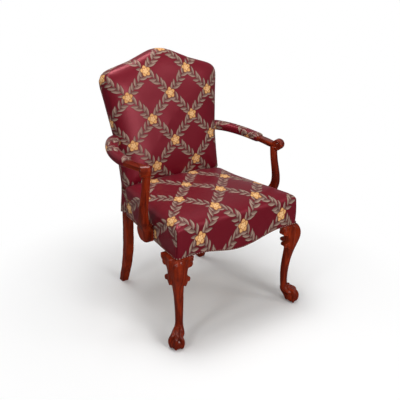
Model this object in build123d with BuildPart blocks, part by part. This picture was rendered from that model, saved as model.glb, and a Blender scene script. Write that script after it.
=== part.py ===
"""Chippendale style open armchair: mahogany frame, stuffed seat, back and arm pads.

Millimetres. The floor is z = 0, +Z is up, the chair faces -Y and +X is at the sitter's left.
The middle of the chair stands over the origin.
"""

import os
from math import cos, pi, radians, sin, sqrt, tan

from build123d import *

os.makedirs("parts", exist_ok=True)

# Seat frame
seat_front_y = -284
seat_front_width = 568
seat_rear_width = 468
seat_depth = 464
rail_bottom = 364
rail_height = 74
rail_thickness = 27
apron_dip = 30
apron_reach = 205
leg_block = 52
seat_corner_radius = 14

# Rear posts and the leaning back
post_depth = 36
post_width = 36
rake = 11.2
bend_height = 480
foot_sweep = [(0, 76), (35, 62), (75, 46), (125, 30), (190, 14), (255, 5), (330, 0)]
post_outside = [(0, 228), (120, 232), (250, 236), (364, 236), (405, 233), (438, 229.2)]
bend_straight = 20
# Half outline of the covered back, from its lower corner to the top of the hump (across, up the lean)
back_outline = [
    (231.5, -8),
    (231.5, 34),
    (231.7, 74),
    (233.2, 120),
    (239, 206),
    (250.5, 290),
    (259, 351),
    (266, 395),
    (269.5, 422),
    (267.5, 441),
    (257.5, 457),
    (243, 467),
    (215, 477),
    (180, 487),
    (142, 498),
    (105, 512),
    (70, 526),
    (38, 537.5),
    (12, 542),
]
crest_joint = 395
crest_depth = 62
stay_rail_low = 30
stay_rail_height = 44
stay_rail_thickness = 24

# Joinery
tenon_thickness = 10
tenon_height = 46
tenon_length = 24
rear_tenon_length = 14
joint_clearance = 0.15
screw_radius = 2.4
screw_head_radius = 4.4
block_screw_length = 62
support_screw_length = 44
support_screw_spots = [(-14, -9), (14, 9)]
rear_rail_inset = 4
stay_tenon_height = 30
crest_tenon_width = 20
crest_tenon_length = 26

# Cabriole front legs: height, outer and inner edge along the diagonal from the foot's centre, roundness
foot_offset = 8
ball_radius = 25.5
ball_centre = 24
knee_top = 359.5
leg_profile = [
    (359.5, -1.5, -74, 0.25),
    (352, 4, -70, 0.27),
    (343, 8.5, -65, 0.3),
    (330, 12.5, -59, 0.34),
    (315, 14.8, -54.5, 0.4),
    (300, 13.5, -51, 0.45),
    (285, 9.5, -49, 0.5),
    (268, 3.5, -48, 0.55),
    (250, -3, -48, 0.61),
    (229, -9.5, -50, 0.68),
    (205, -15.5, -52.5, 0.75),
    (181, -20, -55, 0.82),
    (157, -23.5, -56.5, 0.87),
    (134, -25.3, -56.8, 0.91),
    (110, -26, -56, 0.95),
    (90, -25.5, -55, 0.97),
    (74, -21, -53.5, 0.97),
    (63, -11, -51, 0.97),
    (52, 5, -44, 0.97),
    (40, 14, -26, 0.97),
]
# Claws: forward from the foot's centre, out along the claw's own heading, up and radius, from ankle to nail
claw_turns = {"front": 0, "right": 74, "left": -74, "rear": 180}
front_claw = [
    (0, -40, 85, 5.5),
    (0, -27, 73, 8),
    (0, -12, 62, 8.5),
    (0, 4.5, 53.5, 8.2),
    (0, 15.5, 43.5, 8.6),
    (0, 21, 30, 7.2),
    (0, 20.5, 16, 6),
    (0, 16, 4, 4.2),
]
side_claw = [
    (-34, 9, 74, 5),
    (-20, 13, 66, 7),
    (-6, 15, 58, 8),
    (2, 19.5, 48, 8.5),
    (1, 24.5, 36, 7.8),
    (0, 26, 24, 6.6),
    (0, 24, 12, 5.2),
    (0, 20, 3.5, 4),
]
rear_claw = [
    (0, 43, 84, 5.5),
    (0, 47, 66, 7.2),
    (0, 41, 47, 8),
    (0, 32.5, 34, 7.8),
    (0, 27, 20, 6.6),
    (0, 21.5, 5, 4.6),
]
claw_courses = {"front": front_claw, "right": side_claw, "left": side_claw, "rear": rear_claw}

# Carved knee ears
front_ear_proud = 9
side_ear_proud = 16
side_ear_stretch = 1.45
ear_root = 28
ear_volute = (52, 331, 12)
ear_curl = (44, 275, 8.5)
ear_back = 20
ear_groove = 1.4
# Ear edges: along the rail from the corner and up, then along and out from the rail's face
ear_edge = [
    (67, 356),
    (63.5, 344),
    (52, 331),
    (42, 320),
    (36, 305),
    (35.5, 289),
    (40, 275),
    (37.5, 266),
    (26, 257),
]
ear_plan = [(20, 24), (31, 17.5), (42, 11), (52, 9), (62, 9), (78, 9)]

# Arms and their supports (right-hand side; x, y and height of each middle)
support_sections = [
    (357, 285, -80, 38, 40, 0.5),
    (372, 285, -77, 46, 62, 0.55),
    (396, 289, -76, 46, 68, 0.6),
    (421, 299, -88, 42, 58, 0.65),
    (446, 312, -105, 36, 46, 0.7),
    (474, 319, -117, 32, 37, 0.75),
    (510, 319, -121, 30, 33, 0.8),
    (546, 313, -121, 28, 31, 0.8),
    (582, 307, -119, 27, 29, 0.8),
    (614, 303, -118, 27, 28, 0.8),
    (644, 302, -117, 28, 28, 0.7),
]
support_block_width = 50
support_block_height = 54
support_block_depth = 24
support_tenon_top = 650
support_tenon_radius = 6
support_tenon_length = 12
arm_points = [
    (229, 237, 668),
    (262, 216, 666),
    (294, 165, 661),
    (315, 95, 654),
    (321, 20, 648),
    (313, -52, 648),
    (305, -100, 648),
    (311, -126, 648),
]
arm_width = 35
arm_thickness = 21
arm_tenon_radius = 8
arm_tenon_length = 20
scroll_radius = 22
scroll_width = 37
scroll_turn = 24
spiral_steps = 16
scroll_centre = (314, -129, 649)
pad_start = 0.05
pad_end = 0.64
pad_width = 54
pad_thickness = 44
pad_lift = 3

# Upholstery
cover_thickness = 4.2
soft_clearance = 0.4
arm_cover_thickness = 2
outside_back_thickness = 2.5
# Roll of the cushions: how far up (or forward) and how far drawn in from the edge
crown_levels = [
    (445, 0),
    (450, 0.5),
    (456, 1.8),
    (462, 4),
    (467, 7.5),
    (472, 13),
    (476, 20),
    (480, 30),
    (483.5, 43),
    (486.5, 60),
    (489, 84),
    (490.5, 112),
    (491, 138),
]
back_crown = [
    (7, 0),
    (12, 0.6),
    (17, 2.2),
    (22, 6),
    (26.5, 12),
    (30.5, 22),
    (34, 38),
    (36.8, 60),
    (38.8, 88),
    (39.5, 118),
]
strap_width = 50
strap_thickness = 1.4
strap_count = 5
lining_thickness = 1
corner_block_reach = 74
corner_block_height = 52

# Sizes that follow from the ones above
rail_top = rail_bottom + rail_height
tenon_level = rail_bottom + rail_height / 2
front_half = seat_front_width / 2
rear_half = seat_rear_width / 2
post_front_y = seat_front_y + seat_depth
post_rear_y = post_front_y + post_depth
rail_slope = (front_half - rear_half) / seat_depth
rail_stretch = sqrt(1 + rail_slope**2)
back_depth = post_depth * cos(radians(rake))
cover_bottom = rail_bottom - cover_thickness
foot_x = front_half + foot_offset
foot_y = seat_front_y - foot_offset
block_back_y = seat_front_y + leg_block
block_inner_x = front_half - leg_block
lean = Plane(
    origin=(0, post_front_y, bend_height),
    x_dir=(1, 0, 0),
    z_dir=(0, -cos(radians(rake)), sin(radians(rake))),
)
back_half_width = max(point[0] for point in back_outline)
back_top = back_outline[-1][1]
back_bottom = back_outline[0][1]
back_middle = (back_top + back_bottom) / 2
back_half_height = (back_top - back_bottom) / 2


def rail_face(y):
    return front_half - rail_slope * (y - seat_front_y)


def lean_point(across, up, forward):
    return lean.from_local_coords((across, up, forward))


def give(part, label):
    part.label = label
    export_step(part, f"parts/{label}.step")


def give_pair(part, label):
    give(part, f"{label}_right")
    give(mirror(part, about=Plane.YZ), f"{label}_left")


def between(table, value):
    for (low, first), (high, second) in zip(table, table[1:]):
        if value <= high:
            return first + (second - first) * (value - low) / (high - low)
    return table[-1][1]


def rounded(plane, width, height, roundness):
    with BuildSketch(plane) as section:
        RectangleRounded(width, height, roundness * min(width, height) / 2)
    return section.sketch


def disc(plane, radius):
    with BuildSketch(plane) as section:
        Circle(radius)
    return section.sketch


def path_planes(points):
    # Planes across a path through the points, each turned as little as it can be from the one before
    path = Spline(*points)
    across = None
    planes = []
    for point in points:
        tangent = path.tangent_at(path.param_at_point(point))
        if across is None:
            across = Vector(-tangent.Y, tangent.X, 0)
        across = (across - tangent * across.dot(tangent)).normalized()
        planes.append(Plane(origin=point, x_dir=across, z_dir=tangent))
    return planes


def limb(points, radii):
    return loft([disc(plane, radius) for plane, radius in zip(path_planes(points), radii)], mode=Mode.PRIVATE)


def back_points(inset):
    # The back's half outline drawn in evenly by inset on every side
    across = 1 - inset / back_half_width
    up = 1 - inset / back_half_height
    return [(x * across, back_middle + (h - back_middle) * up) for x, h in back_outline]


def back_face(inset, forward):
    half = back_points(inset)
    loop = half + [(-x, h) for x, h in reversed(half)]
    with BuildSketch(lean.offset(forward)) as face:
        with BuildLine():
            Spline(*loop)
            Line(loop[-1], loop[0])
        make_face()
    return face.sketch


def seat_face(level, inset, rear_inset, radius=seat_corner_radius):
    # Seat plan drawn in (or let out, when negative) from the outer faces of the rails
    front = seat_front_y + inset
    rear = post_front_y - 1 - rear_inset
    side = inset * rail_stretch
    corners = [
        (rail_face(front) - side, front),
        (rail_face(rear) - side, rear),
        (-rail_face(rear) + side, rear),
        (-rail_face(front) + side, front),
    ]
    with BuildSketch(Plane.XY.offset(level)) as face:
        with BuildLine():
            Polyline(*corners, close=True)
        make_face()
        fillet(face.vertices().group_by(Axis.Y)[0], radius)
        fillet(face.vertices().group_by(Axis.Y)[-1], 8)
    return face.sketch


def apron_line(drop):
    # Lower edge of the front: level by the legs, bowed down in the middle
    count = 8
    points = []
    for step in range(-count, count + 1):
        x = apron_reach * step / count
        points.append((x, rail_bottom - drop - apron_dip * (0.5 + 0.5 * cos(pi * step / count))))
    return points


# Front legs: square block, cabriole knee and ankle, ball and claws in one piece of wood
diagonal = Vector(1, -1, 0).normalized()
foot_centre = Vector(foot_x, foot_y, 0)


def leg_section(height, outer, inner, roundness):
    side = (outer - inner) / (sqrt(2) - roundness * (sqrt(2) - 1))
    middle = foot_centre + diagonal * ((outer + inner) / 2) + Vector(0, 0, height)
    return rounded(Plane(origin=middle), side, side, roundness)


def claw(turn, course):
    heading = diagonal.rotate(Axis.Z, turn)
    points = [
        foot_centre + diagonal * forward + heading * out + Vector(0, 0, up)
        for forward, out, up, radius in course
    ]
    return limb(points, [row[3] for row in course])


tenon_room = tenon_thickness + joint_clearance * 2
tenon_room_height = tenon_height + joint_clearance * 2
tenon_room_length = tenon_length + joint_clearance * 2

with BuildPart() as cabriole:
    loft([leg_section(*row) for row in leg_profile])
    with Locations(foot_centre + Vector(0, 0, ball_centre)):
        Sphere(ball_radius)
    for name, course in claw_courses.items():
        add(claw(claw_turns[name], course))
    split(bisect_by=Plane.XY.offset(knee_top), keep=Keep.BOTTOM)
    split(bisect_by=Plane.XY, keep=Keep.TOP)

with BuildPart() as front_leg:
    with BuildSketch(Plane.XY.offset(knee_top - 8)):
        with BuildLine():
            Polyline(
                (front_half, seat_front_y),
                (rail_face(block_back_y), block_back_y),
                (block_inner_x, block_back_y),
                (block_inner_x, seat_front_y),
                close=True,
            )
        make_face()
    extrude(amount=rail_top - knee_top + 8)
    fillet(front_leg.edges().filter_by(Axis.Z).sort_by(SortBy.DISTANCE)[-1], seat_corner_radius)
    with Locations((block_inner_x + tenon_length / 2, seat_front_y + rail_thickness / 2, tenon_level)):
        Box(tenon_room_length, tenon_room, tenon_room_height, mode=Mode.SUBTRACT)
    side_mortise_x = rail_face(block_back_y) - rail_thickness / 2
    with Locations((side_mortise_x, block_back_y - tenon_length / 2, tenon_level)):
        Box(tenon_room, tenon_room_length, tenon_room_height, mode=Mode.SUBTRACT)
    add(cabriole.part)


# Rear posts: leg and back stile sawn from one board, to a side shape and a front shape
def post_edge(height):
    return between(post_outside, height)


post_levels = [height for height, out in post_outside]
frame_outline = back_points(cover_thickness + soft_clearance)
upper_outside = [point for point in frame_outline if 0 < point[1] < crest_joint - 5]
joint_outside = between([(h, x) for x, h in frame_outline], crest_joint)
bend_outside = upper_outside[0][0]
upper_outside = [*upper_outside, (joint_outside, crest_joint)]

with BuildPart() as post_blank:
    with BuildSketch(Plane.YZ.offset(rear_half - 90)):
        with BuildLine():
            rear_curve = Spline(
                *[(post_rear_y + out, height) for height, out in foot_sweep],
                tangents=((-0.5, 1), (0, 1)),
            )
            Polyline(
                rear_curve @ 1,
                (post_rear_y, bend_height),
                (post_front_y, bend_height),
                (post_front_y, foot_sweep[-1][0]),
            )
            front_curve = Spline(
                *[(post_front_y + out * 1.06, height) for height, out in reversed(foot_sweep)],
                tangents=((0, -1), (0.5, -1)),
            )
            Line(front_curve @ 1, rear_curve @ 0)
        make_face()
    extrude(amount=150)
    with BuildSketch(Plane.XZ.offset(-post_rear_y - 120)):
        with BuildLine():
            out_curve = Spline(
                *[(out, height) for height, out in post_outside],
                (bend_outside, bend_height - bend_straight),
                tangents=((0.03, 1), (0, 1)),
            )
            post_inside = [
                (out - post_width + max(0, 120 - height) * 0.05, height) for height, out in post_outside
            ]
            in_curve = Spline(
                (bend_outside - post_width, bend_height - bend_straight),
                *reversed(post_inside),
                tangents=((0, -1), (0.02, -1)),
            )
            Polyline(
                out_curve @ 1,
                (bend_outside, bend_height + 14),
                (bend_outside - post_width, bend_height + 14),
                in_curve @ 0,
            )
            Line(in_curve @ 1, out_curve @ 0)
        make_face()
    extrude(amount=320, mode=Mode.INTERSECT)
    with BuildSketch(lean):
        with BuildLine():
            out_line = Spline(*upper_outside, tangents=((0, 1), (0.16, 1)))
            Line(out_line @ 1, (joint_outside - post_width, crest_joint))
            in_line = Spline(
                *[(x - post_width, h) for x, h in reversed(upper_outside)], tangents=((-0.16, -1), (0, -1))
            )
            Polyline(in_line @ 1, (bend_outside - post_width, 0), (bend_outside, 0), out_line @ 0)
        make_face()
    extrude(amount=-back_depth)

side_tenon_x = rail_face(post_front_y) - rail_thickness / 2
rear_rail_y = post_rear_y - rear_rail_inset - rail_thickness / 2
post_inner_x = post_edge(tenon_level) - post_width
stay_tenon_x = bend_outside - post_width
crest_tenon_x = joint_outside - post_width / 2
left_blank = mirror(post_blank.part, about=Plane.YZ)


def screw(length, grow=0):
    # Countersunk wood screw with its head at the origin and its point up the z axis
    with BuildPart() as shape:
        with BuildSketch(Plane.XZ):
            with BuildLine():
                Polyline(
                    (0, 0),
                    (screw_head_radius + grow, 0),
                    (screw_head_radius + grow, 0.8),
                    (screw_radius + grow, 3.2),
                    (screw_radius + grow, length - 5),
                    (0.4 + grow, length + grow),
                    (0, length + grow),
                    close=True,
                )
            make_face()
        revolve(axis=Axis.Z)
    return shape.part


def aimed(start, target):
    heading = Vector(target) - Vector(start)
    return Plane(origin=start, z_dir=heading).location


# Corner blocks: glued into the corners of the seat frame and screwed to the legs
def block_corners(corner, rail_point, side_point, notch):
    return [corner, rail_point, side_point, notch, (corner[0], notch[1])]


front_rail_back = seat_front_y + rail_thickness
side_inside = rail_thickness * rail_stretch
rear_rail_front = rear_rail_y - rail_thickness / 2
front_reach_y = front_rail_back + corner_block_reach
rear_reach_y = rear_rail_front - corner_block_reach
front_block_points = block_corners(
    (block_inner_x, front_rail_back),
    (block_inner_x - corner_block_reach, front_rail_back),
    (rail_face(front_reach_y) - side_inside, front_reach_y),
    (rail_face(block_back_y) - side_inside, block_back_y),
)
post_corner_x = post_inner_x - 1
rear_block_points = block_corners(
    (post_corner_x, rear_rail_front),
    (post_corner_x - corner_block_reach, rear_rail_front),
    (rail_face(rear_reach_y) - side_inside, rear_reach_y),
    (rail_face(post_front_y) - side_inside, post_front_y),
)
block_low = rail_bottom + 2
block_screw_level = block_low + 6


def block_screw_place(points, target):
    start = (Vector(*points[1]) + Vector(*points[2])) / 2
    lift = Vector(0, 0, block_screw_level)
    return aimed(start + lift, Vector(*target) + lift)


front_screw_place = block_screw_place(front_block_points, (block_inner_x, block_back_y))
rear_screw_place = block_screw_place(rear_block_points, (post_inner_x + 4, post_front_y))
block_screw = screw(block_screw_length)
block_screw_room = screw(block_screw_length, joint_clearance)

for label, points, place in [
    ("front_corner_block", front_block_points, front_screw_place),
    ("rear_corner_block", rear_block_points, rear_screw_place),
]:
    with BuildPart() as corner_block:
        with BuildSketch(Plane.XY.offset(block_low)):
            with BuildLine():
                Polyline(*points, close=True)
            make_face()
        extrude(amount=corner_block_height)
        add(post_blank.part, mode=Mode.SUBTRACT)
        add(place * block_screw_room, mode=Mode.SUBTRACT)
    give_pair(corner_block.part, label)

with BuildPart() as corner_screws:
    add([front_screw_place * block_screw, rear_screw_place * block_screw])
    mirror(about=Plane.YZ)
give(corner_screws.part, "corner_block_screws")

# Front legs with the screw holes of their corner blocks
with BuildPart() as bored_leg:
    add(front_leg.part)
    add(front_screw_place * block_screw_room, mode=Mode.SUBTRACT)
give_pair(bored_leg.part, "front_leg")

# Rear posts with their mortises, the crest tenon and the bored seat for the arm
arm_path = Spline(*arm_points)
arm_start = arm_path.position_at(0)
arm_heading = arm_path.tangent_at(0)
arm_tenon_place = Plane(origin=arm_start + arm_heading * 6, z_dir=arm_heading * -1).location

with BuildPart() as rear_post:
    add(post_blank.part)
    with Locations((side_tenon_x, post_front_y + tenon_length / 2, tenon_level)):
        Box(tenon_room, tenon_room_length, tenon_room_height, mode=Mode.SUBTRACT)
    with Locations((post_inner_x, rear_rail_y, tenon_level)):
        Box(rear_tenon_length * 2 + joint_clearance * 2, tenon_room, tenon_room_height, mode=Mode.SUBTRACT)
    with BuildSketch(lean.offset(-(stay_rail_thickness - tenon_room) / 2)):
        with Locations((stay_tenon_x, stay_rail_low + stay_rail_height / 2)):
            Rectangle(rear_tenon_length * 2 + joint_clearance * 2, stay_tenon_height + joint_clearance * 2)
    extrude(amount=-tenon_room, mode=Mode.SUBTRACT)
    with BuildSketch(lean.offset(-(back_depth - tenon_thickness) / 2)):
        with Locations((crest_tenon_x, crest_joint + crest_tenon_length / 2 - 5)):
            Rectangle(crest_tenon_width, crest_tenon_length + 10)
    extrude(amount=-tenon_thickness)
    with Locations(arm_tenon_place):
        Cylinder(
            arm_tenon_radius + joint_clearance,
            arm_tenon_length + 6 + joint_clearance,
            align=(Align.CENTER, Align.CENTER, Align.MIN),
            mode=Mode.SUBTRACT,
        )
    add(rear_screw_place * block_screw_room, mode=Mode.SUBTRACT)
give_pair(rear_post.part, "rear_post")

# Seat rails
with BuildPart() as front_rail:
    with BuildSketch(Plane.XZ.offset(-front_rail_back)):
        with BuildLine():
            edge = apron_line(0)
            Spline(*edge, tangents=((1, 0), (1, 0)))
            Polyline(
                edge[-1],
                (block_inner_x, rail_bottom),
                (block_inner_x, rail_top),
                (-block_inner_x, rail_top),
                (-block_inner_x, rail_bottom),
                edge[0],
            )
        make_face()
    extrude(amount=rail_thickness)
    front_tenon_x = block_inner_x + tenon_length / 2 - 2
    for side in (-1, 1):
        with Locations((side * front_tenon_x, front_rail_back - rail_thickness / 2, tenon_level)):
            Box(tenon_length + 4, tenon_thickness, tenon_height)
give(front_rail.part, "front_seat_rail")

support_y = support_sections[2][2] - 4
support_level = support_sections[2][0]
rail_out = Vector(1, rail_slope, 0).normalized()
rail_along = Vector(-rail_slope, 1, 0).normalized()
support_plane = Plane(
    origin=(rail_face(support_y), support_y, support_level), x_dir=rail_along, z_dir=rail_out
)
support_screw = screw(support_screw_length)
support_screw_room = screw(support_screw_length, joint_clearance)
inside_plane = support_plane.offset(-rail_thickness)
support_screw_places = [
    Plane(origin=inside_plane.from_local_coords((along, up, 0)), z_dir=rail_out).location
    for along, up in support_screw_spots
]

with BuildPart() as side_rail:
    with BuildSketch(Plane.XY.offset(rail_bottom)):
        with BuildLine():
            Polyline(
                (rail_face(block_back_y), block_back_y),
                (rail_face(post_front_y), post_front_y),
                (rail_face(post_front_y) - side_inside, post_front_y),
                (rail_face(block_back_y) - side_inside, block_back_y),
                close=True,
            )
        make_face()
    extrude(amount=rail_height)
    with Locations((side_mortise_x, block_back_y - tenon_length / 2 + 3, tenon_level)):
        Box(tenon_thickness, tenon_length + 6, tenon_height)
    with Locations((side_tenon_x, post_front_y + tenon_length / 2 - 3, tenon_level)):
        Box(tenon_thickness, tenon_length + 6, tenon_height)
    for place in support_screw_places:
        add(place * support_screw_room, mode=Mode.SUBTRACT)
give_pair(side_rail.part, "side_seat_rail")

with BuildPart() as rear_rail:
    with Locations((0, rear_rail_y, tenon_level)):
        Box(post_inner_x * 2 + 20, rail_thickness, rail_height)
    add([post_blank.part, left_blank], mode=Mode.SUBTRACT)
    with Locations((0, rear_rail_y, tenon_level)):
        Box((post_inner_x + rear_tenon_length) * 2, tenon_thickness, tenon_height)
give(rear_rail.part, "rear_seat_rail")

# Back frame: stay rail above the seat and the shaped crest rail over the posts
with BuildPart() as stay_rail:
    with BuildSketch(lean):
        with Locations((0, stay_rail_low + stay_rail_height / 2)):
            Rectangle(stay_tenon_x * 2 + 20, stay_rail_height)
    extrude(amount=-stay_rail_thickness)
    add([post_blank.part, left_blank], mode=Mode.SUBTRACT)
    with BuildSketch(lean.offset(-(stay_rail_thickness - tenon_thickness) / 2)):
        with Locations((0, stay_rail_low + stay_rail_height / 2)):
            Rectangle((stay_tenon_x + rear_tenon_length) * 2, stay_tenon_height)
    extrude(amount=-tenon_thickness)
give(stay_rail.part, "back_stay_rail")

crest_points = [point for point in back_points(cover_thickness + soft_clearance) if point[1] > crest_joint + 5]
crest_points = [(joint_outside, crest_joint), *crest_points]

with BuildPart() as crest_rail:
    with BuildSketch(lean):
        with BuildLine():
            over = Spline(
                *crest_points,
                *[(-x, h) for x, h in reversed(crest_points)],
                tangents=((0.16, 1), (0.16, -1)),
            )
            Line(over @ 1, (post_width - joint_outside, crest_joint))
            ThreePointArc(
                (post_width - joint_outside, crest_joint),
                (0, crest_points[-1][1] - crest_depth),
                (joint_outside - post_width, crest_joint),
            )
            Line((joint_outside - post_width, crest_joint), over @ 0)
        make_face()
    extrude(amount=-back_depth)
    with BuildSketch(lean.offset(-(back_depth - tenon_room) / 2)):
        for side in (-1, 1):
            with Locations((side * crest_tenon_x, crest_joint + crest_tenon_length / 2)):
                Rectangle(crest_tenon_width + joint_clearance * 2, crest_tenon_length + joint_clearance * 2)
    extrude(amount=-tenon_room, mode=Mode.SUBTRACT)
give(crest_rail.part, "crest_rail")

# Knee ears: scrolled brackets between the knees and the rails
knee = split(front_leg.part, bisect_by=Plane.XY.offset(ear_edge[-1][1] - 20), keep=Keep.TOP)


def knee_ear(stretch, proud):
    # The outline seen from the front, cut to the plan seen from above
    def across(along):
        return front_half - ear_root - (along - ear_root) * stretch

    with BuildPart() as ear:
        with BuildSketch(Plane.XZ.offset(-seat_front_y - ear_back)):
            with BuildLine():
                edge = Spline(*[(across(along), up) for along, up in ear_edge])
                Polyline(
                    edge @ 1,
                    (front_half, ear_edge[-1][1]),
                    (front_half, rail_bottom),
                    (across(ear_edge[0][0]), rail_bottom),
                    edge @ 0,
                )
            make_face()
            for along, up, radius in (ear_volute, ear_curl):
                with Locations((across(along), up)):
                    Circle(radius)
        extrude(amount=ear_back + 40)
        with BuildSketch(Plane.XY.offset(ear_edge[-1][1] - 20)):
            with BuildLine():
                front = Spline(*[(across(along), seat_front_y - max(out, proud)) for along, out in ear_plan])
                Polyline(
                    front @ 1,
                    (across(ear_plan[-1][0]), seat_front_y + ear_back + 5),
                    (across(ear_plan[0][0]), seat_front_y + ear_back + 5),
                    front @ 0,
                )
            make_face()
        extrude(amount=160, mode=Mode.INTERSECT)
        with BuildSketch(Plane.XZ.offset(-seat_front_y + proud - ear_groove)):
            for along, up, radius in (ear_volute, ear_curl):
                with Locations((across(along), up)):
                    Circle(radius * 0.72)
                    Circle(radius * 0.42, mode=Mode.SUBTRACT)
        extrude(amount=10, mode=Mode.SUBTRACT)
        with Locations((front_half - 60, seat_front_y + 10 - 50, knee_top + 20)):
            Box(200, 100, 40, mode=Mode.SUBTRACT)
        add(knee, mode=Mode.SUBTRACT)
    return ear.part.solids().sort_by(SortBy.VOLUME)[-1]


corner_mirror = Plane(origin=(front_half, seat_front_y, 0), z_dir=(1, 1, 0))
front_ear = knee_ear(1, front_ear_proud)
side_ear = mirror(knee_ear(side_ear_stretch, side_ear_proud), about=corner_mirror)
give_pair(Part() + front_ear, "front_knee_ear")
give_pair(Part() + side_ear, "side_knee_ear")


# Arms: bowed, ending in a scroll, with a round tenon into the post
def arm_place(t, lift=0):
    tangent = arm_path.tangent_at(t)
    return Plane(
        origin=arm_path.position_at(t) + Vector(0, 0, lift), x_dir=(-tangent.Y, tangent.X, 0), z_dir=tangent
    )


arm_steps = [0, 0.1, 0.22, 0.36, 0.5, 0.64, 0.78, 0.9, 1]


def arm_body(grow=0):
    return loft(
        [
            rounded(arm_place(t), arm_width + grow * 2, arm_thickness + grow * 2, 0.62)
            for t in arm_steps
        ],
        mode=Mode.PRIVATE,
    )


scroll_axis = Vector(1, 0, 0).rotate(Axis.Z, scroll_turn)
scroll_middle = Vector(*scroll_centre)


def spiral_band(plane):
    outer = []
    inner = []
    for step in range(spiral_steps + 1):
        way = step / spiral_steps
        angle = -pi / 2 + way * pi * 3.4
        radius = (scroll_radius - 1.4) * (1 - 0.68 * way)
        width = 4.2 - 2.2 * way
        outer.append((radius * cos(angle), radius * sin(angle)))
        inner.append(((radius - width) * cos(angle), (radius - width) * sin(angle)))
    with BuildSketch(plane) as band:
        with BuildLine():
            Spline(*outer)
            Line(outer[-1], inner[-1])
            Spline(*reversed(inner))
            Line(inner[0], outer[0])
        make_face()
        with Locations((0, 0)):
            Circle(scroll_radius * 0.2)
    return band.sketch


with BuildPart() as arm:
    scroll_plane = Plane(origin=scroll_middle - scroll_axis * (scroll_width / 2), z_dir=scroll_axis)
    with BuildSketch(scroll_plane):
        Circle(scroll_radius)
    extrude(amount=scroll_width)
    fillet(arm.edges().filter_by(GeomType.CIRCLE), 2)
    far_plane = Plane(origin=scroll_middle + scroll_axis * (scroll_width / 2 - 1), z_dir=scroll_axis)
    near_plane = Plane(origin=scroll_middle - scroll_axis * (scroll_width / 2 - 1), z_dir=scroll_axis * -1)
    bands = [extrude(spiral_band(plane), amount=2.6, mode=Mode.PRIVATE) for plane in (far_plane, near_plane)]
    add([arm_body(), *bands])
    add(post_blank.part, mode=Mode.SUBTRACT)
    with Locations(arm_tenon_place):
        Cylinder(arm_tenon_radius, arm_tenon_length + 6, align=(Align.CENTER, Align.CENTER, Align.MIN))
    with Locations((support_sections[-1][1], support_sections[-1][2], support_tenon_top)):
        Cylinder(
            support_tenon_radius + joint_clearance,
            support_tenon_length * 2,
            align=(Align.CENTER, Align.CENTER, Align.MAX),
            mode=Mode.SUBTRACT,
        )
give_pair(arm.part, "arm")


# Arm supports: shaped uprights screwed to the side rails
def support_body(grow=0):
    return loft(
        [
            rounded(Plane(origin=(x, y, z)), deep + grow * 2, wide + grow * 2, roundness)
            for z, x, y, deep, wide, roundness in support_sections
        ],
        mode=Mode.PRIVATE,
    )


def support_block(grow=0):
    with BuildSketch(support_plane) as face:
        RectangleRounded(support_block_width + grow * 2, support_block_height + grow * 2, 6)
    return extrude(face.sketch, amount=support_block_depth, mode=Mode.PRIVATE)


with BuildPart() as arm_support:
    add([support_body(), support_block()])
    add(arm.part, mode=Mode.SUBTRACT)
    with Locations((support_sections[-1][1], support_sections[-1][2], support_tenon_top - joint_clearance)):
        Cylinder(
            support_tenon_radius,
            support_tenon_length + 8,
            align=(Align.CENTER, Align.CENTER, Align.MAX),
        )
    for place in support_screw_places:
        add(place * support_screw_room, mode=Mode.SUBTRACT)
give_pair(arm_support.part, "arm_support")

with BuildPart() as support_screws:
    add([place * support_screw for place in support_screw_places])
    mirror(about=Plane.YZ)
give(support_screws.part, "arm_support_screws")

# Seat webbing: straps woven over and under one another, ends lying on the rails
strap_low = rail_top + strap_thickness / 2
strap_rise = strap_thickness + 0.1


def strap_bed(count, low, high):
    return [low + (high - low) * (step + 0.5) / count for step in range(count)]


strap_front = seat_front_y + 8
strap_back = post_rear_y - rear_rail_inset - 8
long_x = strap_bed(strap_count, -rear_half + 46, rear_half - 46)
cross_y = strap_bed(strap_count, seat_front_y + leg_block + 14, post_front_y - 14)


def strap_course(start, end, crossings, first_high):
    # Points along a strap, up over every other crossing
    points = [(start, strap_low)]
    for index, middle in enumerate(crossings):
        lift = strap_rise if (index + first_high) % 2 else 0
        level = strap_low + lift
        points += [(middle - strap_width * 0.55, level), (middle + strap_width * 0.55, level)]
    return points + [(end, strap_low)]


def strap_band(points):
    half = strap_thickness / 2
    return [(a, z + half) for a, z in points] + [(a, z - half) for a, z in reversed(points)]


with BuildPart() as long_straps:
    for index, x in enumerate(long_x):
        with BuildSketch(Plane.YZ.offset(x - strap_width / 2)):
            with BuildLine():
                Polyline(*strap_band(strap_course(strap_front, strap_back, cross_y, index)), close=True)
            make_face()
        extrude(amount=strap_width)
give(long_straps.part, "seat_webbing_long")

with BuildPart() as cross_straps:
    for index, y in enumerate(cross_y):
        reach = rail_face(y + strap_width / 2) - 8
        with BuildSketch(Plane.XZ.offset(-y - strap_width / 2)):
            with BuildLine():
                Polyline(*strap_band(strap_course(-reach, reach, long_x, index + 1)), close=True)
            make_face()
        extrude(amount=strap_width)
give(cross_straps.part, "seat_webbing_cross")

# Seat stuffing and cover: the cover hangs over the rails to their lower edges
lining_low = rail_top + strap_thickness * 2 + 0.2
stuffing_low = lining_low + lining_thickness + 0.1
cover_inset = cover_thickness + soft_clearance

with BuildPart() as seat_lining:
    add(extrude(seat_face(lining_low, 10, 10), amount=lining_thickness, mode=Mode.PRIVATE))
give(seat_lining.part, "seat_lining")


def seat_crown(inset, drop):
    rear_draw = max(inset, 0) + max(drop, 0)
    return loft(
        [seat_face(level - drop, draw + inset, draw + rear_draw) for level, draw in crown_levels],
        ruled=True,
        mode=Mode.PRIVATE,
    )


def seat_wall(inset, low, drop, rear):
    high = crown_levels[0][0] - drop
    return extrude(seat_face(low, inset, rear), amount=high - low, mode=Mode.PRIVATE)


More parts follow.
